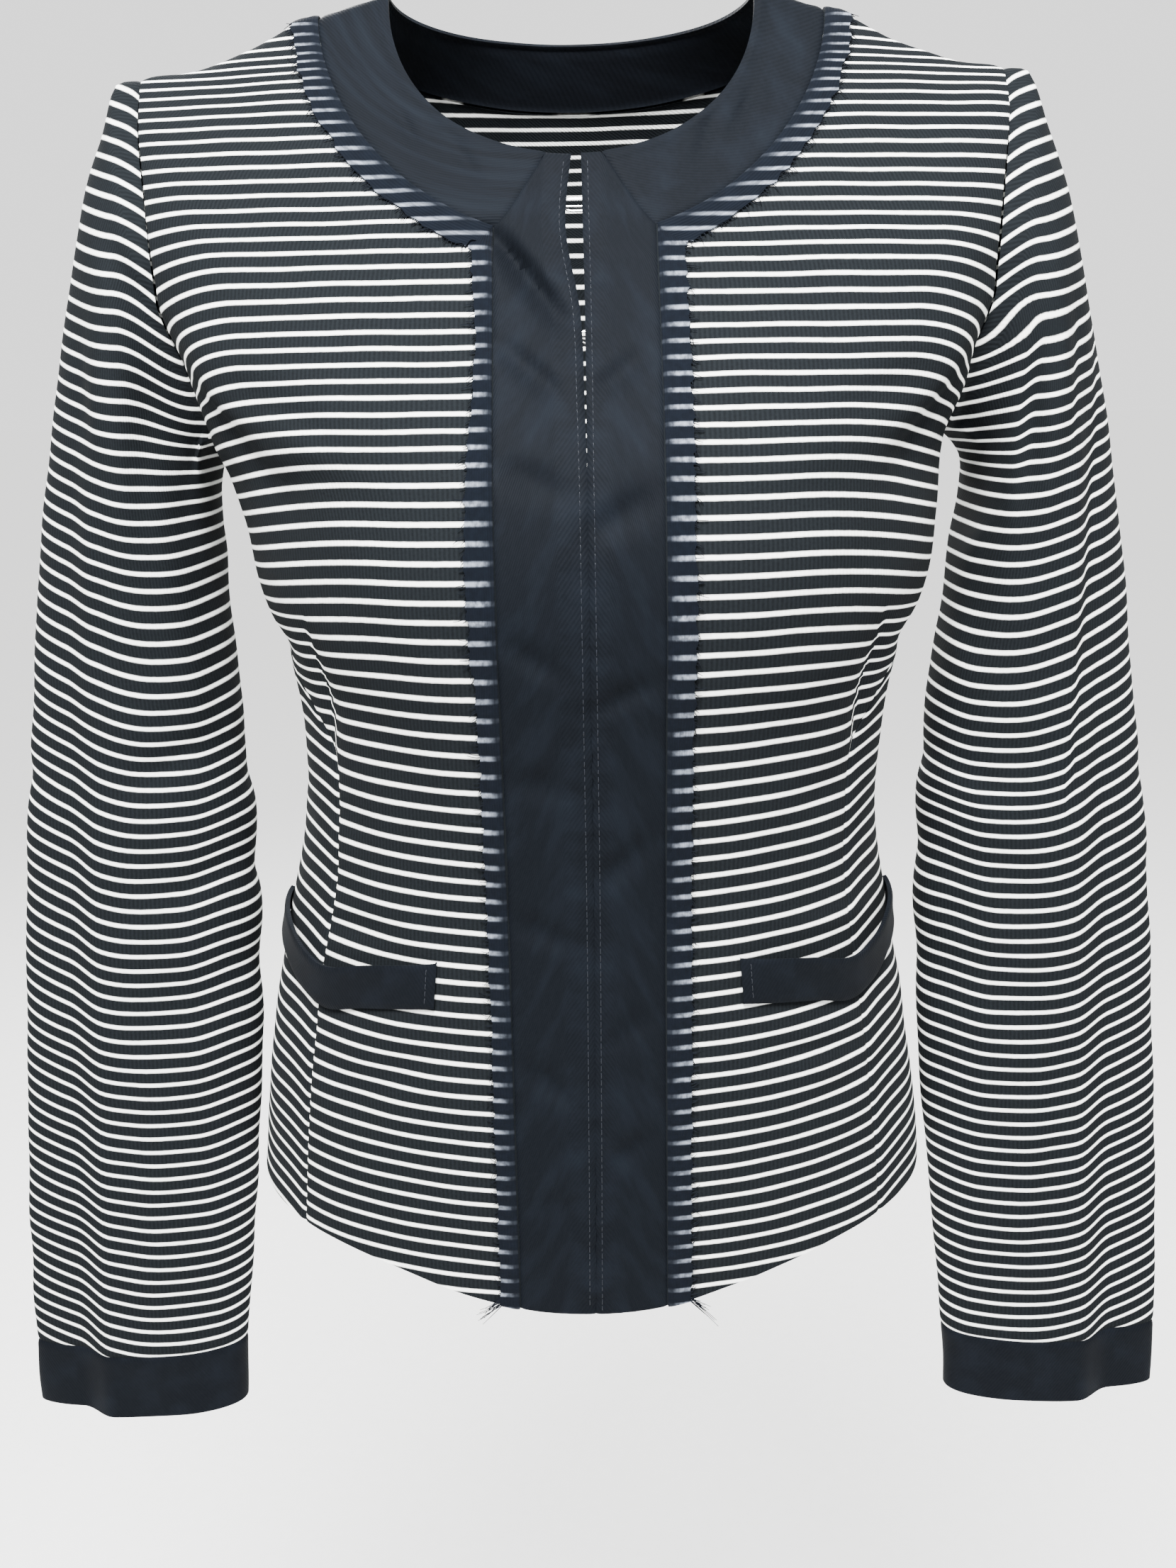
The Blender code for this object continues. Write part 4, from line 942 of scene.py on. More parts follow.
def threads_mesh(name, paths, radii, sides):
    """Many thin threads as one mesh: paths are [thread, station, xyz], radii alike."""
    paths = np.asarray(paths, float)
    radii = np.broadcast_to(np.asarray(radii, float), paths.shape[:2])
    count, stations = paths.shape[:2]
    along = unit(np.gradient(paths, axis=1))
    helper = np.where(np.abs(along[..., 2:]) > 0.8, (1.0, 0.0, 0.0), (0.0, 0.0, 1.0))
    side = unit(np.cross(along, helper))
    other = np.cross(along, side)
    turns = 2 * pi * np.arange(sides) / sides
    ring = side[:, :, None] * np.cos(turns)[:, None] + other[:, :, None] * np.sin(turns)[:, None]
    points = paths[:, :, None] + ring * radii[:, :, None, None]
    first = (np.arange(count) * stations * sides)[:, None, None]
    s, k = np.meshgrid(np.arange(stations - 1), np.arange(sides), indexing="ij")
    here, there = s * sides, (s + 1) * sides
    around = (k + 1) % sides
    quads = np.stack((here + k, here + around, there + around, there + k), axis=-1)
    quads = (quads.reshape(1, -1, 4) + first).reshape(-1, 4)
    ends = np.stack((np.arange(sides)[::-1], np.arange(sides) + (stations - 1) * sides))
    ends = (ends[None] + first).reshape(-1, sides)
    mesh = mesh_from(name, points, quads.tolist() + ends.tolist())
    mesh.validate()
    return mesh


# ---------------------------------------------------------------- stripes on the cloth
def cloth_coordinates(across, number, repeat):
    """The cloth map that puts the stripes' numbers at whole repeats."""
    return np.stack(np.broadcast_arrays(across, number * repeat), axis=-1)


def front_stripes(points, angle, ring, from_side, side):
    """The number of the stripe at each place of a front: level, but sinking towards the
    armhole and the side, and stepping up beyond the dart. from_side is the cloth's
    length from there."""
    below = -points[..., 2]
    near = np.clip(1 - from_side / SINK_REACH, 0, 1) ** 2
    sideways = np.clip(2 * np.abs(points[..., 0]) / RING["half"](ring) - 1, 0, 1) ** 2
    down_dart = (below - DART.below_a) / (DART.below_b - DART.below_a)
    dart = radians(DART.angle_a) + radians(DART.angle_b - DART.angle_a) * down_dart
    lift = DART_LIFT(below) * smooth_step((angle - dart) / DART_LINE + 0.5)
    level = below
    for _ in range(6):
        sink = STRIPE_SINK["armhole"](level) * near
        sink = sink + STRIPE_SINK[side_word(side)](level) * sideways
        level = below - sink + lift
    return STRIPE_NUMBER(level) + (RIGHT_STRIPES_OFF if side > 0 else 0.0)


def level_stripes(points, angle, repeat):
    """Stripes that run level, a repeat apart along the cloth at one angle."""
    stations = 900
    dense = np.linspace(0.0, HEM_RING, stations)
    path = body_point(np.full(dense.shape, angle), dense)
    order = np.argsort(-path[:, 2])
    return np.interp(-points[..., 2], -path[order, 2], path_length(path)[order]) / repeat


def panel_stripes(points, side):
    """The number of the stripe at each place of a side panel, cut on a slant: the
    stripes climb from the seam, most in the middle of what shows from the front."""
    below, out = -points[..., 2], np.abs(points[..., 0])
    seam, widest = out[:, :1], out.max(axis=1, keepdims=True)
    share = np.clip((out - seam) / np.maximum(widest - seam, PANEL_LEAST), 0, 1)
    climb = PANEL_CLIMB * np.sin(pi * share) * (points[..., 1] < PANEL_SHOWS)
    return STRIPE_NUMBER(below + climb) + (PANEL_JOG if side < 0 else RIGHT_STRIPES_OFF)


def sleeve_stripes(points, side):
    """Stripes round a sleeve: they fall from the outer line to a soft kink, run level,
    and then fall or rise to the inner line."""
    below, out = -points[..., 2], np.abs(points[..., 0])
    rise = SLEEVE_LEVEL[f"{side_word(side)}_rise"](below)
    past = out - SLEEVE_LEVEL["kink"](below)
    level = below + SLEEVE_CLIMB * (past + np.hypot(past, KINK_SOFTNESS)) / 2
    start = SLEEVE_RISE_START
    for shift in RISE_SHIFTS:
        start = start + shift.outward * smooth_step((below - shift.below) / shift.reach)
    level = level + rise * smooth_step((start - out) / SLEEVE_RISE_REACH)
    for step in RIGHT_SLEEVE_STEPS if side > 0 else ():
        begun = smooth_step((below - step.below_a) / STEP_BEGINS_OVER)
        not_ended = smooth_step((step.below_b - below) / STEP_ENDS_OVER)
        beside = smooth_step((step.x - out) / step.reach + 0.5)
        level = level - step.drop * begun * not_ended * beside
    return SLEEVE_LEVEL["number"](level)


# ---------------------------------------------------------------- materials
def linear(hex_colour):
    """An sRGB hex colour as linear red, green and blue."""
    parts = [int(hex_colour[k : k + 2], 16) / 255 for k in (0, 2, 4)]
    return tuple(p / 12.92 if p <= 0.04045 else ((p + 0.055) / 1.055) ** 2.4 for p in parts)


def add_node(tree, kind, inputs=None, **settings):
    """A node with its settings. Each input is a value, or a node or socket to link. A
    colour mix has its share at 0 and its colours at 6 and 7, and a map range goes from
    1 and 2 to 3 and 4."""
    node = tree.nodes.new(kind)
    for name, value in settings.items():
        setattr(node, name, value)
    for key, value in (inputs or {}).items():
        if isinstance(value, bpy.types.Node):
            value = next(socket for socket in value.outputs if socket.enabled)
        if isinstance(value, bpy.types.NodeSocket):
            tree.links.new(value, node.inputs[key])
        elif node.inputs[key].type == "RGBA":
            node.inputs[key].default_value = (*value, 1)
        else:
            node.inputs[key].default_value = value
    return node


def new_material(name, shines):
    """A material, its node tree, and its surface shader with what is even all over."""
    material = bpy.data.materials.new(name)
    material.use_nodes = True
    shader = material.node_tree.nodes["Principled BSDF"]
    for socket, value in shines.items():
        shader.inputs[socket].default_value = value
    return material, material.node_tree, shader


WAVE_REPEAT = 2 * pi / 20  # a wave texture's repeat, in metres, at a scale of 1


def drawn_stripe(tree, height, soft):
    """The stripes as 1 and the ground as 0, at a height on the cloth. soft is half the
    width that a stripe's edge takes."""
    cloth = bpy.context.scene.jacket_cloth
    fold = {0: height, 1: cloth.stripe_repeat / 2}
    off = add_node(tree, "ShaderNodeMath", fold, operation="PINGPONG")
    half = cloth.stripe_repeat * cloth.stripe_share / 2
    edges = {0: off, 1: half - soft, 2: half + soft, 3: 1.0, 4: 0.0}
    return add_node(tree, "ShaderNodeMapRange", edges, interpolation_type="SMOOTHSTEP")


def two_toned(name, even, spots, first, second):
    """A material whose tone wanders between two colours through the piece's own space."""
    material, tree, shader = new_material(name, even)
    place = add_node(tree, "ShaderNodeTexCoord").outputs["Object"]
    noise = add_node(tree, "ShaderNodeTexNoise", {"Vector": place, **spots})
    colour = add_node(tree, "ShaderNodeMix", {0: noise, 6: first, 7: second}, data_type="RGBA")
    tree.links.new(colour.outputs[2], shader.inputs["Base Color"])
    return material


def striped_jersey():
    """Cotton jersey, weft-knitted from two yarns. Its stripes are soft-edged, its face
    shows faint upright wales, and it is matt with a little nap."""
    colours = bpy.context.scene.jacket_colours
    even = {"Specular IOR Level": 0.02, "Sheen Weight": 0.004, "Sheen Roughness": 0.5}
    material, tree, shader = new_material("weft-knitted cotton jersey", even)
    place = add_node(tree, "ShaderNodeUVMap", uv_map="Cloth")
    split = add_node(tree, "ShaderNodeSeparateXYZ", {0: place})
    # the loops wander, so a stripe's edge is never quite straight
    wander = add_node(tree, "ShaderNodeTexNoise", {"Vector": place, "Scale": 300.0, "Detail": 1.0})
    shift = {0: wander, 1: 0.0002, 2: split.outputs["Y"]}
    height = add_node(tree, "ShaderNodeMath", shift, operation="MULTIPLY_ADD")
    stripe = drawn_stripe(tree, height, 0.00038)
    # real wales lie 0.8 mm apart; drawn 1.8 mm apart, the finest that shows
    wales = add_node(tree, "ShaderNodeTexWave", {"Vector": place, "Scale": WAVE_REPEAT / 0.0018})
    loops = add_node(tree, "ShaderNodeTexNoise", {"Vector": place, "Scale": 900.0, "Detail": 2.0})
    dark = {0: loops, 6: colours.jersey_shade, 7: colours.jersey_ground}
    ground = add_node(tree, "ShaderNodeMix", dark, data_type="RGBA")
    faint = add_node(tree, "ShaderNodeMapRange", {0: wales, 3: 0.0, 4: 0.30})
    ribbed = {0: faint, 6: ground, 7: linear("1a1d20")}
    ground = add_node(tree, "ShaderNodeMix", ribbed, data_type="RGBA")
    both = {0: stripe, 6: ground, 7: colours.jersey_stripe}
    colour = add_node(tree, "ShaderNodeMix", both, data_type="RGBA")
    tree.links.new(colour.outputs[2], shader.inputs["Base Color"])
    raised = {0: stripe, 1: 0.6, 2: wales}
    raised = add_node(tree, "ShaderNodeMath", raised, operation="MULTIPLY_ADD")
    raised = {0: loops, 1: 0.8, 2: raised}
    raised = add_node(tree, "ShaderNodeMath", raised, operation="MULTIPLY_ADD")
    bump = add_node(tree, "ShaderNodeBump", {"Height": raised, "Strength": 0.3, "Distance": 0.0003})
    tree.links.new(bump.outputs[0], shader.inputs["Normal"])
    rough = add_node(tree, "ShaderNodeMapRange", {0: loops, 3: 0.78, 4: 0.95})
    tree.links.new(rough.outputs[0], shader.inputs["Roughness"])
    return material


def navy_twill():
    """Cotton twill, woven and piece-dyed. Fine diagonal ribs, a dusty bloom, no gloss."""
    colours = bpy.context.scene.jacket_colours
    even = {"Roughness": 0.7, "Specular IOR Level": 0.03}
    even |= {"Sheen Weight": 0.006, "Sheen Roughness": 0.4}
    material, tree, shader = new_material("woven cotton twill", even)
    place = add_node(tree, "ShaderNodeUVMap", uv_map="Cloth")
    slant = (0.0, 0.0, radians(33))
    turned = add_node(tree, "ShaderNodeMapping", {"Vector": place, "Rotation": slant})
    # real twill ribs lie 0.5 mm apart; drawn 1.3 mm apart, the finest that shows
    ribs = add_node(tree, "ShaderNodeTexWave", {"Vector": turned, "Scale": WAVE_REPEAT / 0.0013})
    slub = add_node(tree, "ShaderNodeTexNoise", {"Vector": place, "Scale": 520.0, "Detail": 3.0})
    bloom = add_node(tree, "ShaderNodeTexNoise", {"Vector": place, "Scale": 55.0, "Detail": 3.0})
    yarn = {0: slub, 6: colours.twill_shade, 7: colours.twill}
    colour = add_node(tree, "ShaderNodeMix", yarn, data_type="RGBA")
    faint = add_node(tree, "ShaderNodeMapRange", {0: ribs, 3: 0.0, 4: 0.25})
    ribbed = {0: faint, 6: colour, 7: linear("0e1116")}
    colour = add_node(tree, "ShaderNodeMix", ribbed, data_type="RGBA")
    dusty = add_node(tree, "ShaderNodeMapRange", {0: bloom, 1: 0.45, 2: 0.75, 3: 0.0, 4: 0.30})
    bloomed = {0: dusty, 6: colour, 7: linear("141920")}
    colour = add_node(tree, "ShaderNodeMix", bloomed, data_type="RGBA")
    tree.links.new(colour.outputs[2], shader.inputs["Base Color"])
    raised = add_node(tree, "ShaderNodeMath", {0: slub, 1: 0.8, 2: ribs}, operation="MULTIPLY_ADD")
    bump = add_node(tree, "ShaderNodeBump", {"Height": raised, "Strength": 0.3, "Distance": 0.0002})
    tree.links.new(bump.outputs[0], shader.inputs["Normal"])
    return material


def raw_gauze():
    """Cotton gauze, woven so thin that the stripes beneath show through its outer half.
    The half beside the band is doubled and dark."""
    colours = bpy.context.scene.jacket_colours
    even = {"Roughness": 0.95, "Specular IOR Level": 0.05, "Sheen Weight": 0.01}
    material, tree, shader = new_material("open-woven cotton gauze", even)
    place = add_node(tree, "ShaderNodeUVMap", uv_map="Cloth")
    split = add_node(tree, "ShaderNodeSeparateXYZ", {0: place})
    stripe = drawn_stripe(tree, split.outputs["Y"], 0.0005)
    outward = {0: split.outputs["X"], 1: 0.0018, 2: 0.0078, 3: 0.05}
    single = add_node(tree, "ShaderNodeMapRange", outward)
    tatters = add_node(tree, "ShaderNodeTexNoise", {"Vector": place, "Scale": 330.0, "Detail": 3.0})
    thin = add_node(tree, "ShaderNodeMapRange", {0: tatters, 1: 0.38, 2: 0.60, 3: 0.35, 4: 1.0})
    seen = add_node(tree, "ShaderNodeMath", {0: single, 1: thin}, operation="MULTIPLY")
    seen = add_node(tree, "ShaderNodeMath", {0: seen, 1: stripe}, operation="MULTIPLY")
    yarn = {0: tatters, 6: colours.ribbon_shade, 7: colours.ribbon}
    ground = add_node(tree, "ShaderNodeMix", yarn, data_type="RGBA")
    through = {0: seen, 6: ground, 7: linear("757b86")}
    colour = add_node(tree, "ShaderNodeMix", through, data_type="RGBA")
    tree.links.new(colour.outputs[2], shader.inputs["Base Color"])
    # real gauze threads lie 0.5 mm apart; drawn 1.2 mm apart, the finest that shows
    threads = add_node(tree, "ShaderNodeTexWave", {"Vector": place, "Scale": WAVE_REPEAT / 0.0012})
    raised = add_node(tree, "ShaderNodeMath", {0: tatters, 1: 1.5, 2: threads}, operation="MULTIPLY_ADD")
    bump = add_node(tree, "ShaderNodeBump", {"Height": raised, "Strength": 0.5, "Distance": 0.0003})
    tree.links.new(bump.outputs[0], shader.inputs["Normal"])
    return material


def spun_thread():
    """Polyester sewing thread, spun and dyed. A soft shine along each stitch."""
    colours = bpy.context.scene.jacket_colours
    even, twist = {"Roughness": 0.6, "Specular IOR Level": 0.3}, {"Scale": 2400.0}
    return two_toned("spun polyester thread", even, twist, colours.twill_shade, colours.thread)


def raw_thread():
    """Cotton yarn pulled from the gauze's raw edge. Dull and dark."""
    colours = bpy.context.scene.jacket_colours
    even, dye = {"Roughness": 0.95, "Specular IOR Level": 0.1}, {"Scale": 300.0}
    return two_toned("loose cotton yarn", even, dye, colours.ribbon_shade, colours.ribbon)


def drawn_wire():
    """Steel wire, drawn and nickel-plated. Bright, with fine lines along it."""
    material, tree, shader = new_material("nickel-plated drawn steel wire", {"Metallic": 1.0})
    place = add_node(tree, "ShaderNodeTexCoord").outputs["Object"]
    drawn = add_node(tree, "ShaderNodeMapping", {"Vector": place, "Scale": (300.0, 4000.0, 4000.0)})
    lines = add_node(tree, "ShaderNodeTexNoise", {"Vector": drawn, "Scale": 1.0, "Detail": 2.0})
    tone = {0: lines, 6: linear("a9abad"), 7: bpy.context.scene.jacket_colours.wire}
    colour = add_node(tree, "ShaderNodeMix", tone, data_type="RGBA")
    tree.links.new(colour.outputs[2], shader.inputs["Base Color"])
    rough = add_node(tree, "ShaderNodeMapRange", {0: lines, 3: 0.2, 4: 0.4})
    tree.links.new(rough.outputs[0], shader.inputs["Roughness"])
    return material


def studio_paper():
    """Seamless background paper, uncoated. Even, pale and without shine."""
    paper = bpy.context.scene.jacket_studio.paper
    even, fibre = {"Roughness": 0.95, "Specular IOR Level": 0.1}, {"Scale": 60.0, "Detail": 4.0}
    return two_toned("uncoated background paper", even, fibre, linear("f4f4f2"), paper)


CLOTH_FINISHES = {"jersey": striped_jersey, "twill": navy_twill, "ribbon": raw_gauze}
FINISHES = {}


def finish(maker):
    """The material that a maker function gives, made once."""
    name = maker.__name__
    if name not in FINISHES:
        FINISHES[name] = maker()
    return FINISHES[name]


# ---------------------------------------------------------------- the body's pieces
def sided(points, side):
    """The grid as it lies on one side of the body, -1 or 1."""
    return points * np.array((side, 1.0, 1.0))


def side_word(side):
    """The name of a side, -1 or 1."""
    return "left" if side < 0 else "right"


def make_body_jersey(name, points, normals, number, side=1):
    """A piece of the body's jersey, from its plain grid and the stripes' numbers."""
    repeat = bpy.context.scene.jacket_cloth.stripe_repeat
    cloth_map = cloth_coordinates(running_length(points, 1) * side, number, repeat)
    points = slimmed(sided(parted(points, last_row=False), side))
    normals = sided(normals, side)
    points = rolled(worn(points, normals), normals, ("top", "first", "last"))
    make_cloth(name, points, cloth_map, "jersey")


def band_seam_angle(ring):
    """Where the front's jersey meets the band."""
    return angle_at_x(BAND_WIDTH, ring)


def make_front(side):
    """A front, from the band's seam to the shoulder, the armhole and the side panel."""
    cell = bpy.context.scene.jacket_cloth.cell
    rings = fine_rings(NECK_SEAM_RING, HEM_RING, (band_seam_angle, front_end_angle), cell)
    first = angle_at_x(BAND_WIDTH - SEAM_ALLOWANCE, rings)[:, None]
    last = front_end_angle(rings)[:, None]
    angle = first + (last - first) * fine_shares(FRONT_ACROSS, cell)
    ring = np.broadcast_to(rings[:, None], angle.shape)
    points, normals = body_grid(angle, ring)
    over, down = running_length(points, 1), running_length(points, 0)
    number = front_stripes(points, angle, ring, over[:, -1:] - over, side)
    # painted shade: no white stripe is drawn in the seam beside the band and the neckband
    number = np.where(np.minimum(over, down) < SEAM_SHADE_WIDTH, BETWEEN_STRIPES, number)
    make_body_jersey(f"front_{side_word(side)}", points, normals, number, side)


def make_side_panel(side):
    """A side panel: rows that lead down from under the arm, and then whole rings."""
    cell = bpy.context.scene.jacket_cloth.cell
    shares = fine_shares(PANEL_ACROSS, cell)
    top_angle, top_ring = armhole_place(pi + (SIDE_TOP_TURN - pi) * shares)
    rings = fine_rings(UNDERARM_RING + 1, HEM_RING, (front_seam_angle,), cell)
    rings = rings[len(EDGE_STEPS) - 1 :]  # the leading rows have the close ones
    first, last = front_seam_angle(rings)[:, None], back_seam_angle(rings)[:, None]
    angle = first + (last - first) * shares
    ring = np.broadcast_to(rings[:, None], angle.shape)
    blend = fine_shares(PANEL_LEAD, cell)[: -len(EDGE_STEPS), None]
    lead_angle = top_angle + (angle[0] - top_angle) * blend
    lead_ring = top_ring + (ring[0] - top_ring) * blend
    angle, ring = np.concatenate((lead_angle, angle)), np.concatenate((lead_ring, ring))
    points, normals = body_grid(angle, ring)
    number = panel_stripes(points, side)
    make_body_jersey(f"side_{side_word(side)}", points, normals, number, side)


def middle_back_angle(ring):
    """The middle of the back."""
    return np.full(ring.shape, pi)


def make_back():
    """The back, in one piece from seam to seam."""
    cloth = bpy.context.scene.jacket_cloth
    rings = fine_rings(NECK_SEAM_RING, HEM_RING, (back_seam_angle, middle_back_angle), cloth.cell)
    first = back_seam_angle(rings)[:, None]
    angle = first + (2 * pi - 2 * first) * fine_shares(BACK_ACROSS, cloth.cell)
    ring = np.broadcast_to(rings[:, None], angle.shape)
    points, normals = body_grid(angle, ring)
    number = level_stripes(points, BACK_STRIPES_AT, cloth.stripe_repeat)
    make_body_jersey("back", points, normals, number)


def make_neckband():
    """The band round the neck, from one mitre to the other."""
    cell = bpy.context.scene.jacket_cloth.cell
    rings = fine_shares(NECKBAND_DOWN, cell)
    start = angle_at_x(mitre_x(rings) - MITRE_GAP, rings)[:, None]
    angle = start + (2 * pi - 2 * start) * fine_shares(NECKBAND_ROUND, cell)
    ring = np.broadcast_to(rings[:, None], angle.shape)
    points, normals = body_grid(angle, ring)
    cloth_map = np.stack((running_length(points, 0), running_length(points, 1)), axis=-1)
    points = worn(parted(points, first_row=False), normals, BAND_SWELL)
    points = rolled(points, normals, ("bottom", "first", "last"))
    # the turned edge round the neck makes a low roll
    off = (running_length(points, 0) - NECK_ROLL_FROM_EDGE) / NECK_ROLL_WIDTH
    points = points + normals * (NECK_ROLL_RISE * np.exp(-(off**2)))[..., None]
    make_cloth("neckband", points, cloth_map, "twill")


def middle_band_angle(ring):
    """About the middle of a band."""
    return angle_at_x(BAND_MIDDLE, ring)


def band_grid(side, across):
    """A band's plain surface: from its top edge and mitre down to the hem, and from the
    centre front, 0, across to the seam, 1."""
    edge = EDGE[side_word(side)]
    top = np.zeros(across.shape)

    def place(ring):
        centre = edge(-plain_body(0.0, ring)[..., 2]) * side
        return centre + (BAND_WIDTH - centre) * across

    # the mitre starts where the band's own edge is at that height, found in rounds
    for _ in range(8):
        top = np.clip((place(top) - BAND_TOP_EDGE) / (BAND_WIDTH - BAND_TOP_EDGE), 0, 1)
    cell = bpy.context.scene.jacket_cloth.cell
    lead = fine_rings(0.0, HEM_RING, (middle_band_angle,), cell) / HEM_RING
    ring = top + (HEM_RING - top) * lead[:, None]
    angle = angle_at_x(place(ring) * side, ring)
    return body_grid(angle, ring)


def make_band(side):
    """A centre-front band with its topstitching. A column lies at the mitre's corner."""
    mitre_corner = BAND_TOP_EDGE / BAND_WIDTH
    shares = fine_shares(BAND_WIDTH, bpy.context.scene.jacket_cloth.cell)
    points, normals = band_grid(side, np.sort(np.append(shares, mitre_corner)))
    inward, down = running_length(points, 1), running_length(points, 0)
    points = parted(points, last_row=False, first_column=False)
    points = rolled(points, normals, ("top", "first", "last"))
    # the topstitching puckers the front edge
    wander = PUCKER_WANDER_BY * np.sin(down / PUCKER_WANDER + side)
    swelling = 1 - PUCKER_SWELLING_BY + PUCKER_SWELLING_BY * np.sin(down / PUCKER_SWELLING)
    pucker = PUCKER * np.sin(down / PUCKER_WAVE + wander) * swelling * np.exp(-inward / PUCKER_REACH)
    points = worn(points, normals, BAND_SWELL) + normals * pucker[..., None]
    make_cloth(f"band_{side_word(side)}", points, np.stack((inward, down), axis=-1), "twill")
    points, normals = band_grid(side, np.array(STITCH_SHARES))
    points = worn(points, normals, BAND_SWELL)
    make_stitches(f"band_stitches_{side_word(side)}", points[3:-1, 1], normals[3:-1, 1])


def ribbon_grid(side):
    """The ribbon's middle surface: up along the band, round the corner, and along the
    neckband. Columns run from the seam, 0, to the frayed edge, 1."""
    wide = fine_shares(RIBBON_WIDTH, RIBBON_CELL_ACROSS)
    rings = fine_rings(NECK_SEAM_RING, HEM_RING, (band_seam_angle,), RIBBON_CELL_ALONG)[::-1, None]
    upright_rings = HEM_RING - NECK_SEAM_RING
    share = (HEM_RING - rings) / upright_rings
    height = -plain_body(RIBBON_ANGLE, rings)[..., 2]
    turned = TURNED_UNDER[side_word(side)]
    turned_under = turned.chest * np.exp(-(((height - TURNED_CHEST_BELOW) / TURNED_CHEST_TALL) ** 2))
    turned_under += turned.low * smooth_step((height - TURNED_LOW_BELOW) / TURNED_LOW_REACH)
    chance = np.random.default_rng(RIBBON_SEED + side)
    turn = fine_shares(NECK_RIBBON, RIBBON_CELL_ALONG)[1:, None]
    usual, varies = RIBBON_RAGGED
    ragged = usual + varies * chance.uniform(-1, 1, size=(len(rings) + len(turn), 1))
    upright = wide * ragged[: len(rings)] * (1 - turned_under)
    upright_ring = HEM_RING - share * (upright_rings - upright)
    upright_angle = angle_at_x(BAND_WIDTH + upright * RIBBON_WIDTH, upright_ring)
    neck_ring = NECK_SEAM_RING + wide * ragged[len(rings) :]
    neck_angle = upright_angle[-1] + (pi - upright_angle[-1]) * turn
    return np.concatenate((upright_angle, neck_angle)), np.concatenate((upright_ring, neck_ring))


def make_ribbon(side):
    """The raw-edge ribbon, a little off the jersey, with its loose threads."""
    cloth = bpy.context.scene.jacket_cloth
    angle, ring = ribbon_grid(side)
    points, normals = body_grid(angle, ring)
    far_from_side = np.full(angle.shape, 1.0)  # the armhole pulls no stripe down here
    number = front_stripes(points, angle, ring, far_from_side, side)
    # behind the shoulder seams the ribbon is doubled, and no stripe shows through
    number = np.where(angle > front_end_angle(ring), BETWEEN_STRIPES, number)
    cloth_map = cloth_coordinates(running_length(points, 1), number, cloth.stripe_repeat)
    points, normals = slimmed(sided(points, side)), sided(normals, side)
    points = worn(points, normals) + normals * (RIBBON_LIFT + cloth.ribbon_wall)
    points = rolled(points, normals, ("first",))
    make_cloth(f"trim_{side_word(side)}", points, cloth_map, "ribbon")
    make_fringe(side, points, normals)


def make_fringe(side, points, normals):
    """Loose threads along the ribbon's raw edge, and longer ones at its lower end."""
    chance = np.random.default_rng(FRINGE_SEED + side)
    edge, inner, lift = points[:, -1], points[:, -3], normals[:, -1]
    length = path_length(edge)
    at = np.arange(FRINGE_START, length[-1], FRINGE_PITCH)
    at = at + chance.uniform(-FRINGE_SCATTER, FRINGE_SCATTER, len(at))
    at = np.concatenate((at, chance.uniform(*TAIL_REACH, TAIL_THREADS)))
    start, out = read_along(at, length, edge), unit(read_along(at, length, edge - inner))
    up = unit(read_along(at, length, lift))
    way = unit(np.cross(out, up))
    size = chance.uniform(*FRINGE_LENGTHS, len(at)) * chance.choice(FRINGE_STRETCH, len(at))
    size[-TAIL_THREADS:] = chance.uniform(*TAIL_LENGTHS, TAIL_THREADS)
    lean = chance.uniform(-FRINGE_LEAN, FRINGE_LEAN, len(at))
    lean[-TAIL_THREADS:] = np.abs(lean[-TAIL_THREADS:]) + TAIL_LEAN
    if way[-1, 2] > 0:
        lean[-TAIL_THREADS:] *= -1
    curl = chance.uniform(-FRINGE_CURL, FRINGE_CURL, len(at))
    share = np.linspace(0, 1, FRINGE_STATIONS)[None, :, None]
    steps = size[:, None, None] * share
    bend = (lean[:, None, None] + curl[:, None, None] * share) * steps
    rise = steps * (FRINGE_RISE - FRINGE_DROOP * share) - FRINGE_SUNK
    paths = (start - out * FRINGE_ROOT)[:, None] + out[:, None] * steps
    paths = paths + way[:, None] * bend + up[:, None] * rise
    name = f"fringe_{side_word(side)}"
    mesh = threads_mesh(name, paths, np.linspace(*FRINGE_RADII, FRINGE_STATIONS), 3)
    make_piece(name, mesh, finish(raw_thread))


def make_stitches(name, path, normals):
    """A row of stitches that dip into the cloth at both ends."""
    length = path_length(path)
    first = np.arange(STITCH_PITCH / 2, length[-1] - STITCH_PITCH, STITCH_PITCH)
    at = first[:, None] + STITCH_LENGTH * np.linspace(0, 1, len(STITCH_RISES))
    up = read_along(at, length, normals)
    paths = read_along(at, length, path) + up * np.array(STITCH_RISES)[:, None]
    make_piece(name, threads_mesh(name, paths, STITCH_RADIUS, 5), finish(spun_thread))


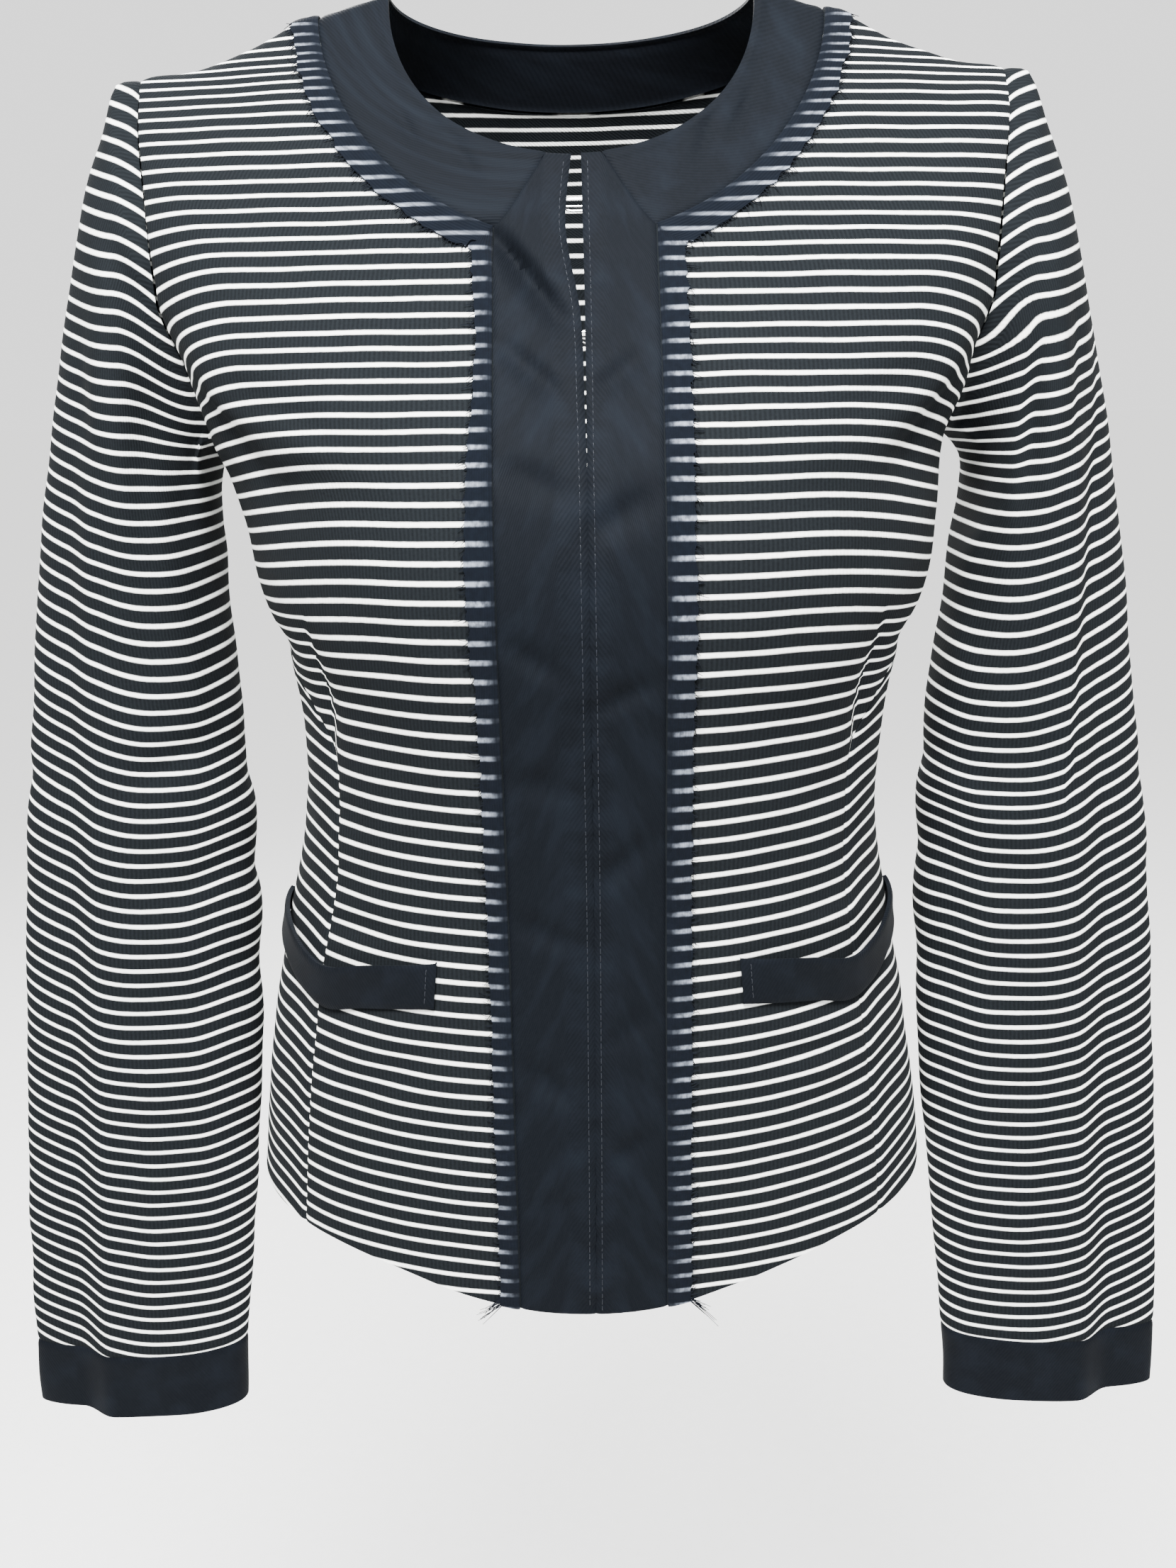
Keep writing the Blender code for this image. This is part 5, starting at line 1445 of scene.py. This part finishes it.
def make_welt(side):
    """A pocket welt, gaping a little at its upper edge, with stitches at its front end."""
    first, last = WELT_STATIONS[0].angle, WELT_STATIONS[-1].angle
    across, up = fine_shares(WELT_ACROSS, WELT_CELL), fine_shares(WELT_HEIGHT, WELT_CELL)[:, None]
    degrees_round = first + (last - first) * across
    angle = np.broadcast_to(np.radians(degrees_round), (len(up), len(across)))
    ring = ring_at_height(angle, -WELT["below"](degrees_round) + WELT_HEIGHT * up)
    normals = body_normal(angle, ring)
    gape = WELT_GAPE * np.sin(pi * across) ** 0.7 * up**1.4
    off = WELT_LIFT + bpy.context.scene.jacket_cloth.twill_wall + gape
    points = body_point(angle, ring) + normals * off[..., None]
    cloth_map = np.stack((running_length(points, 1), running_length(points, 0)), axis=-1)
    points, normals = slimmed(sided(points, side)), sided(normals, side)
    points = rolled(points, normals, ("top", "bottom", "first", "last"))
    make_cloth(f"welt_{side_word(side)}", points, cloth_map, "twill")
    column = int(np.searchsorted(running_length(points, 1)[0], WELT_STITCH_IN))
    normals = outward_normals(points, grid_normals(points))
    name = f"welt_stitches_{side_word(side)}"
    make_stitches(name, points[2:-2, column], normals[2:-2, column])


# ---------------------------------------------------------------- sleeves
def sleeve_section(ring, round_angle, side):
    """A point of the sleeve's tube. round_angle is 0 at the outer line, pi / 2 at the
    front and pi at the inner line. side is -1 or 1."""
    outer_x, outer_z = SLEEVE["outer_x"](ring), SLEEVE["outer_z"](ring)
    swing = SLEEVE["swing"](ring) if side > 0 else 0.0
    inner_x, inner_z = SLEEVE["inner_x"](ring) + swing, SLEEVE["inner_z"](ring)
    to_front = np.sin(round_angle) > 0
    depth = np.where(to_front, SLEEVE["front"](ring), SLEEVE["back"](ring))
    across = signed_power(np.cos(round_angle), SLEEVE_ROUNDNESS)
    ahead = signed_power(np.sin(round_angle), SLEEVE_ROUNDNESS)
    flat = FLAT_FRONT
    grown = smooth_step((ring - flat.ring) / flat.rings)
    back = flat.depth * grown * ahead * smooth_step((across - flat.across) / flat.reach)
    relief = np.where(to_front, back, 0)
    x = (outer_x + inner_x) / 2 + (outer_x - inner_x) / 2 * across
    z = (outer_z + inner_z) / 2 + (outer_z - inner_z) / 2 * across
    return np.stack((x, SLEEVE["middle_y"](ring) - depth * ahead + relief, z), axis=-1)


def sleeve_folds(ring, round_angle):
    """The pull from the underarm and the soft bends at the elbow, as a depth."""
    front = np.maximum(np.sin(round_angle), 0.0)
    across = np.cos(round_angle)
    pull, bend = UNDERARM_PULL, ELBOW_BEND
    near = ((across - pull.across) / pull.wide) ** 2 + ((ring - pull.ring) / pull.long) ** 2
    depth = pull.depth * np.exp(-near) * front
    for bend_ring in ELBOW_BEND_RINGS:
        off = (ring - bend_ring - bend.slant * across) / bend.long
        inner = smooth_step((bend.across - across) / bend.wide)
        depth = depth + bend.depth * np.exp(-off * off) * inner
    return depth


def armhole_turns():
    """The armhole's corners, in order: front, side panel, back, each cut finer."""
    ends = (0.0, pi, SIDE_TOP_TURN, 2 * pi)
    turns = []
    for first, last, corners in zip(ends, ends[1:], (ARMHOLE_ROWS, SIDE_COLUMNS, BACK_ARMHOLE_ROWS)):
        count = corners * CORNER_CUTS
        turns.append(first + (last - first) * np.arange(count) / count)
    return np.concatenate(turns)


def sleeve_grid(first_ring, last_ring, side):
    """A sleeve's points between two rings, columns round it, laid out on the right."""
    turns = armhole_turns()
    angle, ring = armhole_place(turns)
    armhole, outward = body_grid(angle, ring)
    edge = armhole + unit(np.array((1.0, 0.0, 0.0)) + outward) * SEAM_GAP
    top, bottom = armhole[0], armhole[ARMHOLE_ROWS * CORNER_CUTS]
    centre, half = (top + bottom) / 2, (top - bottom) / 2
    across = (armhole - centre) @ half / (half @ half)
    start = np.arctan2(-armhole[:, 1] / SLEEVE["front"](0), across) % (2 * pi)
    start[0] = 0.0
    final = 2 * pi * np.arange(len(turns)) / len(turns)
    rings = sleeve_rows(first_ring, last_ring)[:, None]
    round_angle = start + (final - start) * smooth_step(rings / ROUND_BLEND_RINGS)
    points = sleeve_section(rings, round_angle, side)
    keep = 1 - smooth_step(rings / SLEEVE_BLEND_RINGS)
    points = points + (edge - sleeve_section(np.zeros(len(start)), start, side)) * keep[..., None]
    inward = unit(sleeve_section(rings, round_angle + pi, side) - points)
    return points + inward * sleeve_folds(rings, round_angle)[..., None]


def sleeve_rows(first, last):
    """Rings of a sleeve between two, spaced by its length along the front."""
    dense = np.linspace(first, last, STATIONS // 2)
    length = path_length(sleeve_section(dense, np.full(dense.shape, pi / 2), 1))
    shares = fine_shares(length[-1], bpy.context.scene.jacket_cloth.cell)
    return np.interp(shares * length[-1], length, dense)


def closed_map(points, up):
    """A tube's cloth map: one column more than the tube, so that it doesn't wrap."""
    ring = np.concatenate((points, points[:, :1]), axis=1)
    up = np.concatenate((up, up[:, :1]), axis=1)
    return np.stack((running_length(ring, 1), up), axis=-1)


def make_tube(name, plain, up, swell, edges, slot, side):
    """A closed round of cloth, from its plain grid and how far up its cloth map runs."""
    points = sided(plain, side)
    normals = outward_normals(points, grid_normals(points, True))
    points = rolled(worn(points, normals, swell), normals, edges)
    make_cloth(f"{name}_{side_word(side)}", points, closed_map(plain, up), slot, closed_round=True)


def make_sleeve(side):
    """A sleeve from the armhole to the cuff's seam."""
    plain = sleeve_grid(0.0, CUFF_SEAM_RING, side)
    up = sleeve_stripes(plain, side) * bpy.context.scene.jacket_cloth.stripe_repeat
    make_tube("sleeve", plain, up, JERSEY_SWELL, ("top", "bottom"), "jersey", side)


def make_cuff(side):
    """The twill cuff that ends a sleeve."""
    plain = sleeve_grid(CUFF_SEAM_RING, CUFF_EDGE_RING, side)
    make_tube("cuff", plain, running_length(plain, 0), CUFF_SWELL, ("top",), "twill", side)


# ---------------------------------------------------------------- settings
class JacketCloth(bpy.types.PropertyGroup):
    """Sizes of the cloth"""

    jersey_wall: FloatProperty(
        name="Jersey", description="Thickness of the knitted cloth", default=0.0014, unit="LENGTH"
    )
    twill_wall: FloatProperty(
        name="Twill", description="Thickness of the doubled bands", default=0.0018, unit="LENGTH"
    )
    ribbon_wall: FloatProperty(
        name="Ribbon", description="Thickness of the raw-edge ribbon", default=0.0008, unit="LENGTH"
    )
    cell: FloatProperty(
        name="Cell", description="Size of a cell of the cloth's meshes", default=0.0026, unit="LENGTH"
    )
    stripe_repeat: FloatProperty(
        name="Stripe repeat", description="From one stripe to the next", default=0.0070, unit="LENGTH"
    )
    stripe_share: FloatProperty(
        name="Stripe share", description="How much of a repeat is white", default=0.24, subtype="FACTOR"
    )


class JacketColours(bpy.types.PropertyGroup):
    """Colours of the cloth and the wire"""

    jersey_ground: FloatVectorProperty(
        name="Jersey", description="The dark yarn", subtype="COLOR", default=linear("121517")
    )
    jersey_shade: FloatVectorProperty(
        name="Jersey shade",
        description="The dark yarn, deep between its loops",
        subtype="COLOR",
        default=linear("090a0c"),
    )
    jersey_stripe: FloatVectorProperty(
        name="Stripe", description="The white yarn", subtype="COLOR", default=linear("fbfcf8")
    )
    twill: FloatVectorProperty(
        name="Twill", description="Bands, welts and cuffs", subtype="COLOR", default=linear("0a0c10")
    )
    twill_shade: FloatVectorProperty(
        name="Twill shade",
        description="The twill, deep between its yarns",
        subtype="COLOR",
        default=linear("05070a"),
    )
    ribbon: FloatVectorProperty(
        name="Ribbon", description="The raw-edge gauze", subtype="COLOR", default=linear("090d14")
    )
    ribbon_shade: FloatVectorProperty(
        name="Ribbon shade",
        description="The gauze where it is doubled",
        subtype="COLOR",
        default=linear("04060a"),
    )
    thread: FloatVectorProperty(
        name="Thread", description="Stitches", subtype="COLOR", default=linear("121721")
    )
    wire: FloatVectorProperty(
        name="Wire", description="Hooks and eyes", subtype="COLOR", default=linear("d8d9da")
    )


class JacketStudio(bpy.types.PropertyGroup):
    """The stage and its light"""

    paper: FloatVectorProperty(
        name="Paper", description="The floor's colour", subtype="COLOR", default=linear("fafafa")
    )
    drop: FloatProperty(
        name="Drop", description="From the cuffs down to the floor", default=0.8, unit="LENGTH"
    )
    key: FloatProperty(
        name="Key light", description="The large light's power", default=190.0, unit="POWER"
    )
    sky: FloatProperty(name="Sky", description="Strength of the light all round", default=0.45)
    overhead: FloatProperty(name="Overhead", description="Strength of the light above", default=2.2)
    backdrop: FloatProperty(name="Backdrop", description="Strength of the light behind", default=1.68)


# ---------------------------------------------------------------- operators
class JACKET_OT_camera(bpy.types.Operator):
    """Place the camera where the jacket is seen from"""

    bl_idname = "jacket.camera"
    bl_label = "Camera"

    def execute(self, context):
        data = bpy.data.cameras.new("camera")
        data.lens = LENS_MM
        data.sensor_fit = "VERTICAL"
        data.sensor_height = SENSOR_MM
        camera = bpy.data.objects.new("camera", data)
        level = Matrix.Rotation(pi / 2 - LOOKS_DOWN, 4, "X")
        camera.matrix_world = Matrix.Translation(EYE) @ level @ Matrix.Rotation(CAMERA_ROLL, 4, "Z")
        context.scene.collection.objects.link(camera)
        context.scene.camera = camera
        return {"FINISHED"}


class JACKET_OT_body(bpy.types.Operator):
    """Make the fronts, the side panels and the back"""

    bl_idname = "jacket.body"
    bl_label = "Fronts, sides and back"

    def execute(self, context):
        for side in SIDES:
            make_front(side)
            make_side_panel(side)
        make_back()
        return {"FINISHED"}


class JACKET_OT_sleeves(bpy.types.Operator):
    """Make the sleeves and their cuffs"""

    bl_idname = "jacket.sleeves"
    bl_label = "Sleeves and cuffs"

    def execute(self, context):
        for side in SIDES:
            make_sleeve(side)
            make_cuff(side)
        return {"FINISHED"}


class JACKET_OT_bands(bpy.types.Operator):
    """Make the centre-front bands and the neckband"""

    bl_idname = "jacket.bands"
    bl_label = "Bands"

    def execute(self, context):
        for side in SIDES:
            make_band(side)
        make_neckband()
        return {"FINISHED"}


class JACKET_OT_ribbon(bpy.types.Operator):
    """Make the raw-edge ribbon beside the bands"""

    bl_idname = "jacket.ribbon"
    bl_label = "Ribbon"

    def execute(self, context):
        for side in SIDES:
            make_ribbon(side)
        return {"FINISHED"}


class JACKET_OT_welts(bpy.types.Operator):
    """Make the pocket welts"""

    bl_idname = "jacket.welts"
    bl_label = "Pocket welts"

    def execute(self, context):
        for side in SIDES:
            make_welt(side)
        return {"FINISHED"}


class JACKET_OT_closures(bpy.types.Operator):
    """Give the hooks and eyes their wire finish"""

    bl_idname = "jacket.closures"
    bl_label = "Hooks and eyes"

    def execute(self, context):
        plated = finish(drawn_wire)
        for number in range(1, HOOKS + 1):
            for kind in ("hook", "eye"):
                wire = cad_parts[f"{kind}_{number}"]
                wire.data.materials.clear()
                wire.data.materials.append(plated)
        return {"FINISHED"}


class JACKET_OT_stage(bpy.types.Operator):
    """Lay a pale floor and light it softly"""

    bl_idname = "jacket.stage"
    bl_label = "Floor and light"

    def execute(self, context):
        studio = context.scene.jacket_studio
        floor_z = CAD_BOUNDS[0][2] - studio.drop
        bpy.ops.mesh.primitive_plane_add(size=FLOOR_SIZE, location=(0.0, 0.0, floor_z))
        floor = context.object
        floor.name = "paper_floor"
        floor.data.materials.append(finish(studio_paper))
        world = bpy.data.worlds.new("soft_sky")
        world.use_nodes = True
        tree, sky = world.node_tree, world.node_tree.nodes["Background"]
        sky.inputs["Color"].default_value = (1, 1, 1, 1)
        # brightest overhead, and as bright behind the jacket as the floor is
        place = add_node(tree, "ShaderNodeTexCoord").outputs["Generated"]
        split = add_node(tree, "ShaderNodeSeparateXYZ", {0: place})
        high = {0: split.outputs["Z"], 1: 0.1, 2: 0.9, 3: studio.sky, 4: studio.overhead}
        behind = {0: split.outputs["Y"], 1: 0.2, 2: 0.8, 3: studio.sky, 4: studio.backdrop}
        high = add_node(tree, "ShaderNodeMapRange", high, interpolation_type="SMOOTHSTEP")
        behind = add_node(tree, "ShaderNodeMapRange", behind, interpolation_type="SMOOTHSTEP")
        strength = add_node(tree, "ShaderNodeMath", {0: high, 1: behind}, operation="MAXIMUM")
        tree.links.new(strength.outputs[0], sky.inputs["Strength"])
        context.scene.world = world
        for lamp in LAMPS:
            light = bpy.data.lights.new(lamp.name, "AREA")
            light.shape = "DISK"
            light.size = lamp.size
            light.energy = studio.key * lamp.power
            holder = bpy.data.objects.new(lamp.name, light)
            holder.location = lamp.place
            aim = LAMPS_AIM - Vector(lamp.place)
            holder.rotation_euler = aim.to_track_quat("-Z", "Y").to_euler()
            context.scene.collection.objects.link(holder)
        return {"FINISHED"}


OPERATORS = (
    JACKET_OT_camera,
    JACKET_OT_body,
    JACKET_OT_sleeves,
    JACKET_OT_bands,
    JACKET_OT_ribbon,
    JACKET_OT_welts,
    JACKET_OT_closures,
    JACKET_OT_stage,
)
GROUPS = {"jacket_cloth": JacketCloth, "jacket_colours": JacketColours, "jacket_studio": JacketStudio}


class JACKET_PT_panel(bpy.types.Panel):
    """The jacket's settings and the steps that build it"""

    bl_label = "Striped Jacket"
    bl_idname = "JACKET_PT_panel"
    bl_space_type = "VIEW_3D"
    bl_region_type = "UI"
    bl_category = "Jacket"

    def draw(self, context):
        for group in GROUPS:
            settings = getattr(context.scene, group)
            box = self.layout.box()
            for name in settings.__annotations__:
                box.prop(settings, name)
        for operator in OPERATORS:
            self.layout.operator(operator.bl_idname)


def register():
    for group, kind in GROUPS.items():
        bpy.utils.register_class(kind)
        setattr(bpy.types.Scene, group, PointerProperty(type=kind))
    for kind in (*OPERATORS, JACKET_PT_panel):
        bpy.utils.register_class(kind)


def unregister():
    for kind in (JACKET_PT_panel, *reversed(OPERATORS)):
        bpy.utils.unregister_class(kind)
    for group, kind in reversed(GROUPS.items()):
        delattr(bpy.types.Scene, group)
        bpy.utils.unregister_class(kind)


def main():
    register()
    for operator in OPERATORS:
        family, name = operator.bl_idname.split(".")
        getattr(getattr(bpy.ops, family), name)()


if __name__ == "__main__":
    main()
